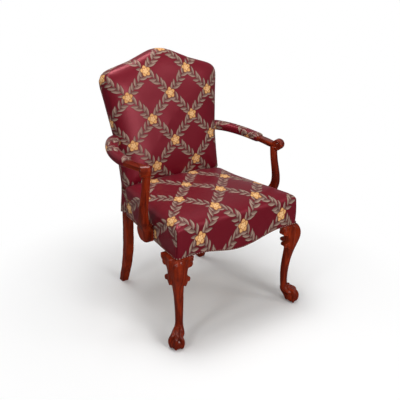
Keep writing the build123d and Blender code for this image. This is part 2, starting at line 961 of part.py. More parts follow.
with BuildPart() as seat_foam:
    add(seat_crown(0, cover_inset + 0.2))
    split(bisect_by=Plane.XY.offset(stuffing_low), keep=Keep.TOP)
give(seat_foam.part, "seat_foam")

with BuildPart() as seat_cover:
    add([seat_wall(-cover_inset, rail_bottom - apron_dip - 20, 0, 0), seat_crown(-cover_inset, 0)])
    add(seat_crown(-soft_clearance, cover_thickness), mode=Mode.SUBTRACT)
    add(seat_wall(-soft_clearance, stuffing_low - 1, cover_thickness, cover_thickness), mode=Mode.SUBTRACT)
    skirt_top_drop = crown_levels[0][0] - stuffing_low
    add(seat_wall(-soft_clearance, rail_bottom - apron_dip - 30, skirt_top_drop, -10), mode=Mode.SUBTRACT)
    with BuildSketch(Plane.XZ.offset(-seat_front_y - 60)):
        with BuildLine():
            edge = apron_line(cover_thickness)
            Spline(*edge, tangents=((1, 0), (1, 0)))
            Polyline(
                edge[-1],
                (front_half + 40, cover_bottom),
                (front_half + 40, rail_bottom - apron_dip - 60),
                (-front_half - 40, rail_bottom - apron_dip - 60),
                (-front_half - 40, cover_bottom),
                edge[0],
            )
        make_face()
    extrude(amount=120, mode=Mode.SUBTRACT)
    with Locations((0, post_front_y, cover_bottom)):
        Box(
            seat_front_width + 80,
            (seat_depth - 40) * 2,
            200,
            align=(Align.CENTER, Align.CENTER, Align.MAX),
            mode=Mode.SUBTRACT,
        )
    for part in (support_body(soft_clearance), support_block(soft_clearance)):
        add([part, mirror(part, about=Plane.YZ, mode=Mode.PRIVATE)], mode=Mode.SUBTRACT)
give(seat_cover.part, "seat_cover")

# Back stuffing and covers
with BuildPart() as back_lining:
    extrude(back_face(24, 0.1), amount=lining_thickness)
give(back_lining.part, "back_lining")


def back_crown_loft(inset, drop):
    sections = [back_face(draw + inset, forward - drop) for forward, draw in back_crown]
    return loft(sections, ruled=True, mode=Mode.PRIVATE)


def back_wall(inset, rear, drop):
    return extrude(back_face(inset, rear), amount=back_crown[0][0] - drop - rear, mode=Mode.PRIVATE)


foam_inset = cover_inset + soft_clearance
arm_hole = arm_body(soft_clearance)
foam_rear = lining_thickness + 0.2

with BuildPart() as back_foam:
    add([back_wall(foam_inset, foam_rear, foam_inset), back_crown_loft(foam_inset, foam_inset)])
    add([arm_hole, mirror(arm_hole, about=Plane.YZ, mode=Mode.PRIVATE)], mode=Mode.SUBTRACT)
give(back_foam.part, "back_foam")

with BuildPart() as back_cover:
    add([back_wall(0, -back_depth, 0), back_crown_loft(0, 0)])
    add(
        [
            back_wall(cover_thickness, -back_depth - 10, cover_thickness),
            back_crown_loft(cover_thickness, cover_thickness),
        ],
        mode=Mode.SUBTRACT,
    )
    with BuildSketch(lean):
        with Locations((0, back_bottom)):
            Rectangle((bend_outside + soft_clearance) * 2, 30)
    extrude(amount=-back_depth - 10, mode=Mode.SUBTRACT)
    add([arm_hole, mirror(arm_hole, about=Plane.YZ, mode=Mode.PRIVATE)], mode=Mode.SUBTRACT)
give(back_cover.part, "inside_back_cover")

# Fabric on the outer sides of the rear posts, below the leaning back
cover_gap = soft_clearance

with BuildPart() as post_cover:
    with BuildSketch(Plane.XZ.offset(-post_rear_y)):
        with BuildLine():
            near = [(out + cover_gap, height) for height, out in post_outside if height > 300]
            near += [(bend_outside + cover_gap, bend_height - bend_straight)]
            inner_line = Spline(*near, tangents=((0, 1), (0, 1)))
            outer_line = Spline(
                *[(x + cover_thickness - cover_gap, z) for x, z in reversed(near)], tangents=((0, -1), (0, -1))
            )
            Polyline(
                inner_line @ 1,
                (bend_outside + cover_gap, bend_height + 14),
                (bend_outside + cover_thickness, bend_height + 14),
                outer_line @ 0,
            )
            Line(outer_line @ 1, inner_line @ 0)
        make_face()
    extrude(amount=post_depth)
    with BuildSketch(lean):
        with Locations((rear_half, back_bottom - soft_clearance)):
            Rectangle(200, 200, align=(Align.CENTER, Align.MIN))
    extrude(amount=100, both=True, mode=Mode.SUBTRACT)
    with Locations((rear_half, post_front_y, cover_bottom)):
        Box(200, 200, 200, align=(Align.CENTER, Align.CENTER, Align.MAX), mode=Mode.SUBTRACT)
give_pair(post_cover.part, "rear_post_cover")

# Outside back: one flat cover down the back of the posts to the rear rail
panel_gap = 0.3
bend_up = back_depth * tan(radians(rake))

with BuildPart() as outside_back:
    extrude(back_face(0, -back_depth - panel_gap), amount=-outside_back_thickness)
    with BuildSketch(lean.offset(-back_depth - panel_gap)):
        with Locations((0, bend_up)):
            Rectangle(seat_front_width, 200, align=(Align.CENTER, Align.MAX))
    extrude(amount=20, both=True, mode=Mode.SUBTRACT)
    with BuildSketch(Plane.XZ.offset(-post_rear_y - panel_gap)):
        with BuildLine():
            side_line = [(post_edge(cover_bottom) + cover_thickness, cover_bottom)]
            side_line += [
                (out + cover_thickness, height) for height, out in post_outside if height > cover_bottom + 2
            ]
            side_line += [(bend_outside + cover_thickness, bend_height)]
            Polyline(*side_line, *[(-x, z) for x, z in reversed(side_line)], close=True)
        make_face()
    extrude(amount=-outside_back_thickness)
give(outside_back.part, "outside_back_cover")


# Arm pads: stuffing around the rear part of each arm and a fabric cover over it
def pad_body(inset, start, end):
    steps = [start + (end - start) * step / 7 for step in range(8)]
    sections = []
    for t in steps:
        taper = 1 - 0.14 * t
        plane = arm_place(t, pad_lift)
        sections.append(rounded(plane, pad_width * taper - inset * 2, pad_thickness * taper - inset * 2, 0.8))
    return loft(sections, mode=Mode.PRIVATE)


back_room = extrude(back_face(-0.6, -back_depth - 30), amount=140)

with BuildPart() as arm_padding:
    add(pad_body(arm_cover_thickness + soft_clearance, pad_start, pad_end - 0.008))
    add(arm_body(soft_clearance), mode=Mode.SUBTRACT)
    add(back_room, mode=Mode.SUBTRACT)
give_pair(arm_padding.part, "arm_padding")

with BuildPart() as arm_cover:
    add(pad_body(0, pad_start, pad_end))
    add(pad_body(arm_cover_thickness, pad_start - 0.02, pad_end - 0.006), mode=Mode.SUBTRACT)
    add(arm_body(soft_clearance), mode=Mode.SUBTRACT)
    add(back_room, mode=Mode.SUBTRACT)
give_pair(arm_cover.part, "arm_cover")
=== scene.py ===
from math import atan2, cos, exp, hypot, pi, radians, sin

import bmesh
import bpy
import numpy as np
from mathutils import Matrix, Vector
from mathutils.bvhtree import BVHTree
from mathutils.kdtree import KDTree


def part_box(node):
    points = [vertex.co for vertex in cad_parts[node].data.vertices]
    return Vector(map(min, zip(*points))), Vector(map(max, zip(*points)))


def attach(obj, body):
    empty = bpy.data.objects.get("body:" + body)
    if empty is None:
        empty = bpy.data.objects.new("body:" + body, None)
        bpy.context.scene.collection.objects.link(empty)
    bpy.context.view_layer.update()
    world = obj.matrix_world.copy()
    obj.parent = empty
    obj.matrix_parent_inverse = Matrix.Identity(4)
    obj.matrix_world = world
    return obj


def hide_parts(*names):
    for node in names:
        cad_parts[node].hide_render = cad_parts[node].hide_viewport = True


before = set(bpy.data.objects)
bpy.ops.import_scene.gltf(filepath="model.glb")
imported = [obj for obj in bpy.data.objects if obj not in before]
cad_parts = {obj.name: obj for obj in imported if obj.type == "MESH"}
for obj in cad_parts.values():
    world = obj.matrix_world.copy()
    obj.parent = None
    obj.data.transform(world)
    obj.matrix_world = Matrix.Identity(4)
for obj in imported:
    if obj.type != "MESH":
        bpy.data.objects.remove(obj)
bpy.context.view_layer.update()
scene = bpy.context.scene
print("frame loaded:", len(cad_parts), "nodes")


# Small tools for node trees
def addNode(tree, kind, **settings):
    node = tree.nodes.new(kind)
    for key, value in settings.items():
        setattr(node, key, value)
    return node


def feed(tree, socket, value):
    if isinstance(value, bpy.types.NodeSocket):
        tree.links.new(value, socket)
    else:
        socket.default_value = value


def calc(tree, operation, *values, clamp=False):
    node = addNode(tree, "ShaderNodeMath", operation=operation, use_clamp=clamp)
    for socket, value in zip(node.inputs, values):
        feed(tree, socket, value)
    return node.outputs[0]


def ramp(tree, value, low, high):
    node = addNode(tree, "ShaderNodeMapRange", interpolation_type="SMOOTHSTEP")
    feed(tree, node.inputs["Value"], value)
    feed(tree, node.inputs["From Min"], low)
    feed(tree, node.inputs["From Max"], high)
    return node.outputs["Result"]


def blendColour(tree, factor, first, second):
    node = addNode(tree, "ShaderNodeMix", data_type="RGBA")
    feed(tree, node.inputs["Factor"], factor)
    feed(tree, node.inputs["A"], first)
    feed(tree, node.inputs["B"], second)
    return node.outputs["Result"]


def noise(tree, vector, scale, detail=3.0, roughness=0.5, distortion=0.0):
    node = addNode(tree, "ShaderNodeTexNoise")
    feed(tree, node.inputs["Vector"], vector)
    feed(tree, node.inputs["Scale"], scale)
    feed(tree, node.inputs["Detail"], detail)
    feed(tree, node.inputs["Roughness"], roughness)
    feed(tree, node.inputs["Distortion"], distortion)
    return node.outputs["Fac"]


def newGroup(name, inputs, outputs):
    tree = bpy.data.node_groups.new(name, "ShaderNodeTree")
    for label, kind, value in inputs:
        socket = tree.interface.new_socket(label, in_out="INPUT", socket_type=kind)
        if value is not None:
            socket.default_value = value
    for label, kind in outputs:
        tree.interface.new_socket(label, in_out="OUTPUT", socket_type=kind)
    return tree, addNode(tree, "NodeGroupInput"), addNode(tree, "NodeGroupOutput")


def newMaterial(name):
    material = bpy.data.materials.new(name)
    material.use_nodes = True
    tree = material.node_tree
    return material, tree, tree.nodes["Principled BSDF"]


def placeGroup(tree, group, **values):
    node = addNode(tree, "ShaderNodeGroup", node_tree=group)
    for label, value in values.items():
        feed(tree, node.inputs[label], value)
    return node


def addBump(tree, shader, height, strength, distance):
    bump = addNode(tree, "ShaderNodeBump")
    bump.inputs["Strength"].default_value = strength
    bump.inputs["Distance"].default_value = distance
    feed(tree, bump.inputs["Height"], height)
    tree.links.new(bump.outputs["Normal"], shader.inputs["Normal"])


def srgb(red, green, blue):
    parts = []
    for value in (red, green, blue):
        value = value / 255
        parts.append(value / 12.92 if value <= 0.04045 else ((value + 0.055) / 1.055) ** 2.4)
    return (*parts, 1.0)


# Grain shared by the polished and the sawn wood: figure along the board and fine pores
grainGroup, grainIn, grainOut = newGroup(
    "woodGrain",
    [("Vector", "NodeSocketVector", None), ("Stretch", "NodeSocketFloat", 14.0)],
    [("Figure", "NodeSocketFloat"), ("Pores", "NodeSocketFloat")],
)
grainScale = addNode(grainGroup, "ShaderNodeCombineXYZ")
feed(grainGroup, grainScale.inputs["X"], grainIn.outputs["Stretch"])
feed(grainGroup, grainScale.inputs["Y"], grainIn.outputs["Stretch"])
grainScale.inputs["Z"].default_value = 1.0
grainVector = addNode(grainGroup, "ShaderNodeVectorMath", operation="MULTIPLY")
feed(grainGroup, grainVector.inputs[0], grainIn.outputs["Vector"])
feed(grainGroup, grainVector.inputs[1], grainScale.outputs[0])
figure = noise(grainGroup, grainVector.outputs[0], 5.0, 5.0, 0.6, 1.2)
pores = noise(grainGroup, grainVector.outputs[0], 46.0, 2.0, 0.5, 0.2)
feed(grainGroup, grainOut.inputs["Figure"], ramp(grainGroup, figure, 0.3, 0.72))
feed(grainGroup, grainOut.inputs["Pores"], ramp(grainGroup, pores, 0.56, 0.72))

# Threads shared by the cover, the lining and the straps
weaveGroup, weaveIn, weaveOut = newGroup(
    "clothWeave",
    [("Vector", "NodeSocketVector", None), ("Threads", "NodeSocketFloat", 900.0)],
    [("Height", "NodeSocketFloat"), ("Slub", "NodeSocketFloat")],
)
weaveParts = addNode(weaveGroup, "ShaderNodeSeparateXYZ")
feed(weaveGroup, weaveParts.inputs[0], weaveIn.outputs["Vector"])
threadCount = weaveIn.outputs["Threads"]
warp = calc(weaveGroup, "SINE", calc(weaveGroup, "MULTIPLY", weaveParts.outputs["X"], threadCount))
weft = calc(weaveGroup, "SINE", calc(weaveGroup, "MULTIPLY", weaveParts.outputs["Y"], threadCount))
crossed = calc(weaveGroup, "MULTIPLY", warp, weft)
feed(weaveGroup, weaveOut.inputs["Height"], calc(weaveGroup, "MULTIPLY_ADD", crossed, 0.5, 0.5))
feed(weaveGroup, weaveOut.inputs["Slub"], noise(weaveGroup, weaveIn.outputs["Vector"], 30.0, 4.0, 0.6))


def woodMaterial(name, look):
    material, tree, shader = newMaterial(name)
    place = addNode(tree, "ShaderNodeTexCoord")
    turn = addNode(tree, "ShaderNodeMapping")
    turn.inputs["Rotation"].default_value = look["turn"]
    feed(tree, turn.inputs["Vector"], place.outputs["Object"])
    grain = placeGroup(tree, grainGroup, Vector=turn.outputs[0], Stretch=look["stretch"])
    colour = blendColour(tree, grain.outputs["Figure"], look["dark"], look["light"])
    porePart = calc(tree, "MULTIPLY", grain.outputs["Pores"], look["poreDepth"])
    colour = blendColour(tree, porePart, colour, look["poreAndHollowShade"])
    # Painted shade: hollows, where the pointiness is low, are darkened towards the pore colour as if shade
    # fell there
    form = addNode(tree, "ShaderNodeNewGeometry")
    shadedHollows = ramp(tree, form.outputs["Pointiness"], 0.5, 0.42)
    colour = blendColour(tree, calc(tree, "MULTIPLY", shadedHollows, look["hollowShade"]), colour, look["poreAndHollowShade"])
    feed(tree, shader.inputs["Base Color"], colour)
    feed(tree, shader.inputs["Roughness"], calc(tree, "MULTIPLY_ADD", porePart, 0.15, look["roughness"]))
    shader.inputs["Coat Weight"].default_value = look["coat"]
    shader.inputs["Coat Roughness"].default_value = 0.06
    shader.inputs["Specular IOR Level"].default_value = 0.08
    shader.inputs["Specular Tint"].default_value = look["gleam"]
    addBump(tree, shader, calc(tree, "SUBTRACT", 1.0, porePart), 0.12, 0.0002)
    return material


mahoganyLook = {
    "dark": srgb(80, 15, 5),
    "light": srgb(136, 40, 11),
    # colour of the grain's pores, also used as the painted shade in the hollows
    "poreAndHollowShade": srgb(34, 3, 2),
    "poreDepth": 0.3,
    # how strongly painted shade darkens the hollows
    "hollowShade": 0.85,
    "roughness": 0.34,
    "coat": 0.42,
    "stretch": 8.0,
    "gleam": srgb(255, 214, 190),
    "turn": (0.0, 0.0, 0.0),
}
mahogany = woodMaterial("polishedMahogany", mahoganyLook)
mahoganyArm = woodMaterial("polishedMahoganyArm", {**mahoganyLook, "turn": (radians(90), 0.0, 0.0)})
sawnLook = {
    "dark": srgb(150, 112, 74),
    "light": srgb(196, 158, 112),
    "poreAndHollowShade": srgb(110, 76, 46),
    "poreDepth": 0.35,
    # how strongly painted shade darkens the hollows
    "hollowShade": 0.2,
    "roughness": 0.75,
    "coat": 0.0,
    "stretch": 9.0,
    "gleam": srgb(255, 240, 225),
    "turn": (0.0, radians(90), 0.0),
}
sawnWood = woodMaterial("sawnFrameWood", sawnLook)

# Trellis cloth: sprigs along the two families of diagonals, a five-lobed flower on every crossing.
# The cover's own UV counts pattern repeats, so a flower lies on every whole and half repeat.
cloth = {
    "ground": srgb(98, 2, 21),
    "leaf": srgb(148, 131, 115),
    "leafShade": srgb(88, 73, 63),
    "leafLine": srgb(40, 6, 14),
    "petal": srgb(208, 160, 98),
    "petalInner": srgb(224, 186, 128),
    "petalShade": srgb(162, 104, 52),
    "flowerLine": srgb(84, 36, 18),
    "leavesOnASprig": 6.0,
    "stemWidth": 0.011,
    "leafLength": 0.27,
    "leafWidth": 0.044,
    "leafAngle": 37,
    "flowerRadius": 0.165,
    "sheen": 0.12,
    "sheenRoughness": 0.35,
    "sheenTint": srgb(255, 170, 185),
    "roughness": 0.4,
    "figureRoughness": 0.3,
    "specular": 1.0,
    "gleam": srgb(255, 138, 150),
    "threads": 1400.0,
    # how finely and how far the drawing wanders from true
    "wanderScale": 22.0,
    "wander": (0.03, 0.03, 0.0),
}


def leafField(tree, along, across, step):
    # Height inside the leaf that grows from the root "step" roots back; below zero outside it
    side = calc(tree, "LESS_THAN", across, 0.0)
    shifted = calc(tree, "MULTIPLY_ADD", side, 0.5 / cloth["leavesOnASprig"], along)
    cell = calc(tree, "MULTIPLY", shifted, cloth["leavesOnASprig"])
    root = calc(tree, "SUBTRACT", calc(tree, "FLOOR", cell), float(step))
    forward = calc(tree, "DIVIDE", calc(tree, "SUBTRACT", cell, root), cloth["leavesOnASprig"])
    out = calc(tree, "ABSOLUTE", across)
    # No two leaves of a sprig have quite the same lean and length
    unlike = calc(tree, "SINE", calc(tree, "MULTIPLY_ADD", root, 2.4, calc(tree, "MULTIPLY", side, 1.7)))
    angle = calc(tree, "MULTIPLY_ADD", unlike, 0.14, radians(cloth["leafAngle"]))
    lean = calc(tree, "SINE", angle)
    run = calc(tree, "COSINE", angle)
    length = calc(tree, "MULTIPLY_ADD", unlike, -0.035, cloth["leafLength"])
    down = calc(tree, "ADD", calc(tree, "MULTIPLY", forward, run), calc(tree, "MULTIPLY", out, lean))
    beside = calc(tree, "SUBTRACT", calc(tree, "MULTIPLY", out, run), calc(tree, "MULTIPLY", forward, lean))
    share = calc(tree, "DIVIDE", down, length)
    part = calc(tree, "MINIMUM", calc(tree, "MAXIMUM", share, 0.0), 1.0)
    beyond = calc(tree, "MAXIMUM", calc(tree, "SUBTRACT", share, 1.0), calc(tree, "MULTIPLY", share, -1.0))
    swell = calc(tree, "SINE", calc(tree, "MULTIPLY", calc(tree, "POWER", part, 0.85), pi))
    width = calc(tree, "MULTIPLY", swell, cloth["leafWidth"])
    field = calc(tree, "SUBTRACT", width, calc(tree, "ABSOLUTE", beside))
    field = calc(tree, "DIVIDE", field, cloth["leafWidth"])
    field = calc(tree, "MULTIPLY_ADD", calc(tree, "MAXIMUM", beyond, 0.0), -9.0, field)
    place = calc(tree, "FRACT", calc(tree, "DIVIDE", root, cloth["leavesOnASprig"]))
    early = calc(tree, "GREATER_THAN", place, 0.05)
    late = calc(tree, "LESS_THAN", place, 0.9)
    # No leaf grows where the flower sits
    bare = calc(tree, "MULTIPLY_ADD", calc(tree, "MULTIPLY", early, late), -4.0, 4.0)
    field = calc(tree, "SUBTRACT", field, bare)
    return field, calc(tree, "DIVIDE", beside, cloth["leafWidth"])


def nearestWhole(tree, value):
    return calc(tree, "SUBTRACT", value, calc(tree, "ROUND", value))


def choose(tree, test, whenTrue, whenFalse):
    other = calc(tree, "MULTIPLY", calc(tree, "SUBTRACT", 1.0, test), whenFalse)
    return calc(tree, "MULTIPLY_ADD", test, whenTrue, other)


def sprigField(tree, along, across):
    newer, newerSide = leafField(tree, along, across, 0)
    older, olderSide = leafField(tree, along, across, 1)
    front = calc(tree, "GREATER_THAN", newer, 0.0)
    return calc(tree, "MAXIMUM", newer, older), choose(tree, front, newerSide, olderSide)


def blossom(tree, reach, turn, size, start):
    # Five lobes round the crossing: height inside the blossom and the lines between its petals
    lobes = calc(tree, "COSINE", calc(tree, "MULTIPLY_ADD", turn, 5.0, start))
    rim = calc(tree, "MULTIPLY_ADD", lobes, 0.13 * size, 0.87 * size)
    inside = calc(tree, "DIVIDE", calc(tree, "SUBTRACT", rim, reach), cloth["flowerRadius"])
    return inside, ramp(tree, lobes, -0.5, -0.97)


def trellisColour(tree, uv):
    parts = addNode(tree, "ShaderNodeSeparateXYZ")
    feed(tree, parts.inputs[0], uv)
    first = calc(tree, "ADD", parts.outputs["X"], parts.outputs["Y"])
    second = calc(tree, "SUBTRACT", parts.outputs["X"], parts.outputs["Y"])
    firstOff = nearestWhole(tree, first)
    secondOff = nearestWhole(tree, second)
    rising, risingSide = sprigField(tree, first, secondOff)
    falling, fallingSide = sprigField(tree, calc(tree, "MULTIPLY", second, -1.0), firstOff)
    leaf = calc(tree, "MAXIMUM", rising, falling)
    nearStem = calc(tree, "MINIMUM", calc(tree, "ABSOLUTE", firstOff), calc(tree, "ABSOLUTE", secondOff))
    stem = calc(tree, "DIVIDE", calc(tree, "SUBTRACT", cloth["stemWidth"], nearStem), cloth["leafWidth"])
    leaf = calc(tree, "MAXIMUM", leaf, stem)
    side = choose(tree, calc(tree, "GREATER_THAN", rising, falling), risingSide, fallingSide)
    squares = calc(tree, "MULTIPLY_ADD", firstOff, firstOff, calc(tree, "MULTIPLY", secondOff, secondOff))
    reach = calc(tree, "SQRT", squares)
    upward = calc(tree, "ADD", firstOff, secondOff)
    turn = calc(tree, "ARCTAN2", upward, calc(tree, "SUBTRACT", firstOff, secondOff))
    outer, outerLines = blossom(tree, reach, turn, cloth["flowerRadius"], 0.6)
    inner, innerLines = blossom(tree, reach, turn, cloth["flowerRadius"] * 0.56, 3.6)
    leafMask = ramp(tree, leaf, -0.05, 0.1)
    flowerMask = ramp(tree, outer, -0.03, 0.05)
    leafTone = blendColour(tree, ramp(tree, side, -0.8, 0.4), cloth["leafShade"], cloth["leaf"])
    rib = ramp(tree, calc(tree, "ABSOLUTE", side), 0.15, 0.04)
    leafTone = blendColour(tree, calc(tree, "MULTIPLY", rib, 0.55), leafTone, cloth["leafLine"])
    outerLines = calc(tree, "MULTIPLY", outerLines, 0.85)
    petals = blendColour(tree, outerLines, cloth["petal"], cloth["petalShade"])
    petals = blendColour(tree, ramp(tree, inner, -0.12, -0.02), petals, cloth["petalShade"])
    innerLines = calc(tree, "MULTIPLY", innerLines, 0.6)
    heart = blendColour(tree, innerLines, cloth["petalInner"], cloth["petalShade"])
    petals = blendColour(tree, ramp(tree, inner, 0.0, 0.06), petals, heart)
    leafEdge = calc(tree, "MULTIPLY", ramp(tree, leaf, -0.4, -0.08), 0.7)
    colour = blendColour(tree, leafEdge, cloth["ground"], cloth["leafLine"])
    colour = blendColour(tree, leafMask, colour, leafTone)
    flowerEdge = calc(tree, "MULTIPLY", ramp(tree, outer, -0.18, -0.04), 0.9)
    colour = blendColour(tree, flowerEdge, colour, cloth["flowerLine"])
    colour = blendColour(tree, flowerMask, colour, petals)
    return colour, calc(tree, "MAXIMUM", leafMask, flowerMask)


def trellisMaterial():
    material, tree, shader = newMaterial("trellisDamask")
    uvNode = addNode(tree, "ShaderNodeUVMap", uv_map="cloth")
    place = addNode(tree, "ShaderNodeTexCoord")
    weave = placeGroup(tree, weaveGroup, Vector=uvNode.outputs["UV"], Threads=cloth["threads"])
    wander = addNode(tree, "ShaderNodeTexNoise")
    feed(tree, wander.inputs["Vector"], place.outputs["Object"])
    wander.inputs["Scale"].default_value = cloth["wanderScale"]
    sway = addNode(tree, "ShaderNodeVectorMath", operation="MULTIPLY_ADD")
    feed(tree, sway.inputs[0], wander.outputs["Color"])
    sway.inputs[1].default_value = cloth["wander"]
    feed(tree, sway.inputs[2], uvNode.outputs["UV"])
    colour, raised = trellisColour(tree, sway.outputs[0])
    feed(tree, shader.inputs["Base Color"], colour)
    rough = calc(tree, "MULTIPLY_ADD", raised, cloth["figureRoughness"], cloth["roughness"])
    feed(tree, shader.inputs["Roughness"], rough)
    shader.inputs["Sheen Weight"].default_value = cloth["sheen"]
    shader.inputs["Sheen Roughness"].default_value = cloth["sheenRoughness"]
    shader.inputs["Sheen Tint"].default_value = cloth["sheenTint"]
    shader.inputs["Specular IOR Level"].default_value = cloth["specular"]
    shader.inputs["Specular Tint"].default_value = cloth["gleam"]
    height = calc(tree, "ADD", raised, calc(tree, "MULTIPLY", weave.outputs["Height"], 0.12))
    addBump(tree, shader, height, 0.35, 0.0006)
    return material


def plainCloth(name, first, second, threads, rough):
    material, tree, shader = newMaterial(name)
    place = addNode(tree, "ShaderNodeTexCoord")
    weave = placeGroup(tree, weaveGroup, Vector=place.outputs["Object"], Threads=threads)
    slub = calc(tree, "MULTIPLY", weave.outputs["Slub"], 0.4)
    tone = calc(tree, "MULTIPLY_ADD", weave.outputs["Height"], 0.6, slub)
    feed(tree, shader.inputs["Base Color"], blendColour(tree, tone, first, second))
    feed(tree, shader.inputs["Roughness"], calc(tree, "MULTIPLY_ADD", weave.outputs["Slub"], 0.1, rough))
    addBump(tree, shader, weave.outputs["Height"], 0.5, 0.0006)
    return material


damask = trellisMaterial()
hessian = plainCloth("hessianLining", srgb(120, 96, 62), srgb(186, 160, 116), 1500.0, 0.85)
webbing = plainCloth("strapWebbing", srgb(112, 88, 58), srgb(170, 142, 98), 1100.0, 0.8)
gimpLight = plainCloth("gimpIvory", srgb(176, 148, 118), srgb(214, 188, 156), 2600.0, 0.6)
gimpDark = plainCloth("gimpBurgundy", srgb(70, 4, 18), srgb(116, 14, 36), 2600.0, 0.6)


def steelMaterial():
    material, tree, shader = newMaterial("screwSteel")
    place = addNode(tree, "ShaderNodeTexCoord")
    marks = noise(tree, place.outputs["Object"], 900.0, 2.0)
    steel = blendColour(tree, marks, srgb(120, 120, 122), srgb(176, 176, 178))
    feed(tree, shader.inputs["Base Color"], steel)
    feed(tree, shader.inputs["Roughness"], calc(tree, "MULTIPLY_ADD", marks, 0.2, 0.3))
    shader.inputs["Metallic"].default_value = 1.0
    return material


screwSteel = steelMaterial()
print("materials made")


# Small tools for pieces
def newPiece(name, mesh):
    piece = bpy.data.objects.new(name, mesh)
    scene.collection.objects.link(piece)
    return piece


def settle(piece):
    # Turns the piece with its modifiers into a plain mesh
    graph = bpy.context.evaluated_depsgraph_get()
    mesh = bpy.data.meshes.new_from_object(piece.evaluated_get(graph))
    piece.modifiers.clear()
    piece.data = mesh
    return piece


def shadeSmooth(mesh):
    mesh.polygons.foreach_set("use_smooth", [True] * len(mesh.polygons))


def hand(piece, material, slot, *nodes):
    if material is not None:
        piece.data.materials.clear()
        piece.data.materials.append(material)
    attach(piece, "root")
    if nodes:
        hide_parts(*nodes)
    return piece


def nodeTree(node):
    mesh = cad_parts[node].data
    return BVHTree.FromPolygons([v.co for v in mesh.vertices], [p.vertices for p in mesh.polygons])


def quadAt(row, column, after, count):
    # Corners of the face between two columns of a ring and the ring after it
    low, high = row * count, (row + 1) * count
    return [low + column, low + after, high + after, high + column]


def writeUvs(mesh, faceUvs):
    layer = mesh.uv_layers.new(name="cloth")
    corner = 0
    for face in faceUvs:
        for uv in face:
            layer.data[corner].uv = uv
            corner += 1


def skinMesh(name, rings, uvs, pole, poleUv):
    # Closed rings from the hem to a pole in the middle
    # uvs[ring][column] holds the place for the face on the left and for the one on the right
    count = len(rings[0])
    mesh = bpy.data.meshes.new(name)
    points = [point for ring in rings for point in ring] + [pole]
    faces = []
    faceUvs = []
    for row in range(len(rings) - 1):
        for column in range(count):
            after = (column + 1) % count
            faces.append(quadAt(row, column, after, count))
            lower, upper = uvs[row], uvs[row + 1]
            faceUvs.append((lower[column][1], lower[after][0], upper[after][0], upper[column][1]))
    last = (len(rings) - 1) * count
    for column in range(count):
        after = (column + 1) % count
        faces.append((last + column, last + after, len(points) - 1))
        faceUvs.append((uvs[-1][column][1], uvs[-1][after][0], poleUv))
    mesh.from_pydata(points, [], faces)
    writeUvs(mesh, faceUvs)
    shadeSmooth(mesh)
    return mesh


stuffing = {
    "quality": 6,
    "mass": 0.35,
    "stretch": 25,
    "shear": 12,
    "bend": 4,
    "steps": 20,
    "evenRounds": 40,
    # columns on each side that a point of a ring is averaged with
    "spread": 12,
}


def stuff(piece, held, pressure, cap, ringSize, middleRings):
    # Blows the stuffing up against the cover; held points stay, no point moves more than the cap
    group = piece.vertex_groups.new(name="held")
    for index, weight in enumerate(held):
        group.add([index], weight, "REPLACE")
    modifier = piece.modifiers.new("stuffing", "CLOTH")
    settings = modifier.settings
    settings.quality = stuffing["quality"]
    settings.mass = stuffing["mass"]
    settings.tension_stiffness = stuffing["stretch"]
    settings.compression_stiffness = stuffing["stretch"]
    settings.shear_stiffness = stuffing["shear"]
    settings.bending_stiffness = stuffing["bend"]
    settings.use_pressure = True
    settings.uniform_pressure_force = pressure
    settings.vertex_group_mass = "held"
    settings.effector_weights.gravity = 0
    for step in range(1, stuffing["steps"] + 1):
        scene.frame_set(step)
    graph = bpy.context.evaluated_depsgraph_get()
    moved = piece.evaluated_get(graph).to_mesh()
    places = [vertex.co.copy() for vertex in moved.vertices]
    piece.evaluated_get(graph).to_mesh_clear()
    piece.modifiers.remove(modifier)
    # Only what the stuffing lifts outwards is kept, evened out over the cover
    normals = [vertex.normal.copy() for vertex in piece.data.vertices]
    lift = np.zeros(len(places))
    for index, vertex in enumerate(piece.data.vertices):
        lift[index] = min(cap, max(0.0, (places[index] - vertex.co).dot(normals[index])))
    pairs = np.array([edge.vertices[:] for edge in piece.data.edges])
    free = 1.0 - np.array(held)
    count = np.bincount(pairs.ravel(), minlength=len(lift))
    for _ in range(stuffing["evenRounds"]):
        total = np.zeros(len(lift))
        np.add.at(total, pairs[:, 0], lift[pairs[:, 1]])
        np.add.at(total, pairs[:, 1], lift[pairs[:, 0]])
        lift = (0.5 * lift + 0.5 * total / count) * free
    # The crowded rings round the middle rise together
    last = len(lift) - 1
    if middleRings:
        grid = lift[:last].reshape(-1, ringSize)
        loose = free[:last].reshape(-1, ringSize)
        for _ in range(3):
            shifts = range(-stuffing["spread"], stuffing["spread"] + 1)
            grid = sum(np.roll(grid, shift, axis=1) for shift in shifts) / len(shifts)
            grid[1:-1] = 0.5 * grid[1:-1] + 0.25 * (grid[:-2] + grid[2:])
            grid = grid * loose
        lift[:last] = grid.ravel()
        innerStart = last - middleRings * ringSize
        inner = lift[innerStart : innerStart + ringSize].mean()
        for ring in range(middleRings):
            span = slice(last - (ring + 1) * ringSize, last - ring * ringSize)
            share = (ring + 1) / middleRings
            lift[span] = inner * (1 - share) + lift[span] * share
        lift[last] = inner
    for vertex, normal, amount in zip(piece.data.vertices, normals, lift):
        vertex.co += normal * float(amount)
    piece.data.update()
    scene.frame_set(1)


def thicken(piece, thickness, offset=-1):
    wall = piece.modifiers.new("wall", "SOLIDIFY")
    wall.thickness = thickness
    wall.offset = offset
    settle(piece)


